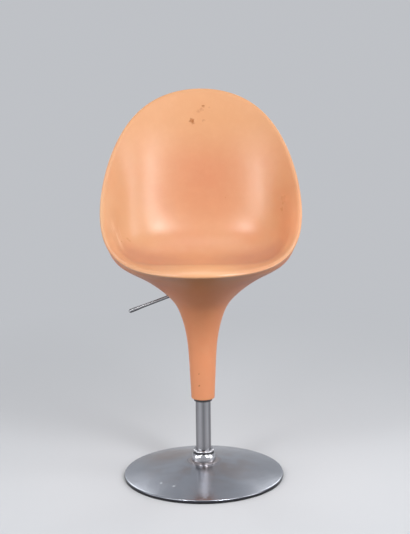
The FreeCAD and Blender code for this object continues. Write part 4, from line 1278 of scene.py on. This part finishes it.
class STOOL_OT_add_stage(Operator):
    """Lay the floor and backdrop, hang the lamps and set up the camera"""

    bl_idname = "stool.add_stage"
    bl_label = "Stage"

    def execute(self, context):
        stage = context.scene.stool_stage
        add_floor(stage)
        add_surround(stage)
        for lamps, watts in ((RIGHT_LAMPS, stage.right_power), (LEFT_LAMPS, stage.left_power),
                             (SIDE_LAMPS, stage.side_power), (TOP_LAMPS, stage.top_power),
                             (BACK_LAMPS, stage.back_power)):
            for name, azimuth, elevation, distance, size, lean, part in lamps:
                add_softbox(name, azimuth, elevation, distance, size, lean, watts * part)
        add_camera(stage)
        context.scene.view_settings.view_transform = "Standard"
        return {"FINISHED"}


def add_floor(stage):
    """A floor that sweeps up into a backdrop, pale to the eye and greyer in what it gives back."""
    deselect()
    bpy.ops.mesh.primitive_plane_add(size=FLOOR_SIZE, location=FLOOR_PLACE)
    floor = bpy.context.object
    floor.name = "floor"
    mesh = edit(floor, "EDGE")
    bpy.ops.mesh.select_all(action="DESELECT")
    far = max(mesh.edges, key=lambda line: sum(vertex.co.y for vertex in line.verts))
    far.select_set(True)
    bmesh.update_edit_mesh(floor.data)
    bpy.ops.mesh.extrude_region_move(TRANSFORM_OT_translate={"value": (0.0, 0.0, BACKDROP_RISE)})
    settle(floor)
    apply_modifier(floor, "BEVEL", width=SWEEP, segments=SWEEP_STEPS, limit_method="ANGLE")
    smooth(floor, FLOOR_SMOOTH)
    floor.data.materials.append(pale_floor(stage))


def is_seen(tree):
    """A switch that is on for what the camera sees, straight or in metal and glass."""
    path = put(tree, "LightPath")
    seen = larger(tree, path.outputs["Is Camera Ray"], path.outputs["Is Glossy Ray"])
    return larger(tree, seen, path.outputs["Is Transmission Ray"])


def pale_floor(stage):
    """Pale floor that keeps the object's shadow near it and turns into an even tone far from it."""
    material, tree, shader, place = new_material("pale_floor")
    seen = is_seen(tree)
    shade = mix_colour(tree, seen, stage.floor_bounce, stage.floor)
    tree.links.new(shade, shader.inputs["Base Color"])
    shader.inputs["Roughness"].default_value = 0.9
    shader.inputs["Specular IOR Level"].default_value = 0.1
    far = times(tree, spread(tree, away_from(tree, place, FLOOR_MIDDLE), *FLOOR_FADE), seen)
    even = put(tree, "Emission", {"Color": (*stage.backdrop, 1.0), "Strength": 1.0})
    both = put(tree, "MixShader", links={0: far, 1: shader.outputs[0], 2: even.outputs[0]})
    tree.links.new(both.outputs[0], tree.nodes["Material Output"].inputs["Surface"])
    return material


def add_surround(stage):
    """An even studio surround that lights the object softly."""
    world = bpy.data.worlds.new("studio")
    bpy.context.scene.world = world
    world.use_nodes = True
    tree = world.node_tree
    tone = mix_colour(tree, is_seen(tree), scaled(SKY_CAST, stage.sky), stage.backdrop)
    tree.links.new(tone, tree.nodes["Background"].inputs["Color"])
    tree.nodes["Background"].inputs["Strength"].default_value = 1.0


def add_softbox(name, azimuth, elevation, distance, size, lean, watts):
    """A rectangular soft lamp that faces the seat, at an azimuth and elevation seen from it."""
    turn, rise = math.radians(azimuth), math.radians(elevation)
    away = Vector((math.sin(turn) * math.cos(rise), -math.cos(turn) * math.cos(rise), math.sin(rise)))
    deselect()
    bpy.ops.object.light_add(type="AREA", location=LAMP_TARGET + away * distance)
    lamp = bpy.context.object
    lamp.name = name
    aim = (-away).to_track_quat("-Z", "Y").to_matrix() @ Matrix.Rotation(math.radians(lean), 3, "Z")
    lamp.rotation_euler = aim.to_euler()
    lamp.data.shape = "RECTANGLE"
    lamp.data.size, lamp.data.size_y = size
    lamp.data.energy = watts


def add_camera(stage):
    """The camera that frames the whole stool."""
    deselect()
    bpy.ops.object.camera_add(location=(stage.camera_x, stage.camera_y, stage.camera_z))
    camera = bpy.context.object
    aim = Matrix.Rotation(math.pi / 2.0 - stage.pitch, 3, "X") @ Matrix.Rotation(stage.roll, 3, "Z")
    camera.rotation_euler = aim.to_euler()
    camera.data.sensor_width = SENSOR_WIDTH
    camera.data.lens = stage.lens
    bpy.context.scene.camera = camera


class STOOL_PT_panel(Panel):
    """Panel that lists the pieces of the stool"""

    bl_idname = "STOOL_PT_panel"
    bl_label = "Shell bar stool"
    bl_space_type = "VIEW_3D"
    bl_region_type = "UI"
    bl_category = "Stool"

    def draw(self, context):
        for operator in OPERATORS:
            self.layout.operator(operator.bl_idname)
        for attribute, group in SETTINGS:
            box = self.layout.box()
            box.label(text=group.__doc__)
            for name in group.__annotations__:
                box.prop(getattr(context.scene, attribute), name)


OPERATORS = (
    STOOL_OT_add_shells,
    STOOL_OT_add_disc,
    STOOL_OT_add_collar,
    STOOL_OT_add_stem_ring,
    STOOL_OT_add_lever,
    STOOL_OT_finish_frame,
    STOOL_OT_add_stage,
)


def register():
    """Register the settings, the operators and the panel."""
    for attribute, group in SETTINGS:
        bpy.utils.register_class(group)
        setattr(bpy.types.Scene, attribute, PointerProperty(type=group))
    for operator in OPERATORS:
        bpy.utils.register_class(operator)
    bpy.utils.register_class(STOOL_PT_panel)


def unregister():
    """Take the panel, the operators and the settings away again."""
    bpy.utils.unregister_class(STOOL_PT_panel)
    for operator in reversed(OPERATORS):
        bpy.utils.unregister_class(operator)
    for attribute, group in reversed(SETTINGS):
        delattr(bpy.types.Scene, attribute)
        bpy.utils.unregister_class(group)


def main():
    """Build the stool and its stage."""
    register()
    bpy.ops.stool.finish_frame()
    bpy.ops.stool.add_shells()
    bpy.ops.stool.add_disc()
    bpy.ops.stool.add_collar()
    bpy.ops.stool.add_stem_ring()
    bpy.ops.stool.add_lever()
    bpy.ops.stool.add_stage()


if __name__ == "__main__":
    main()
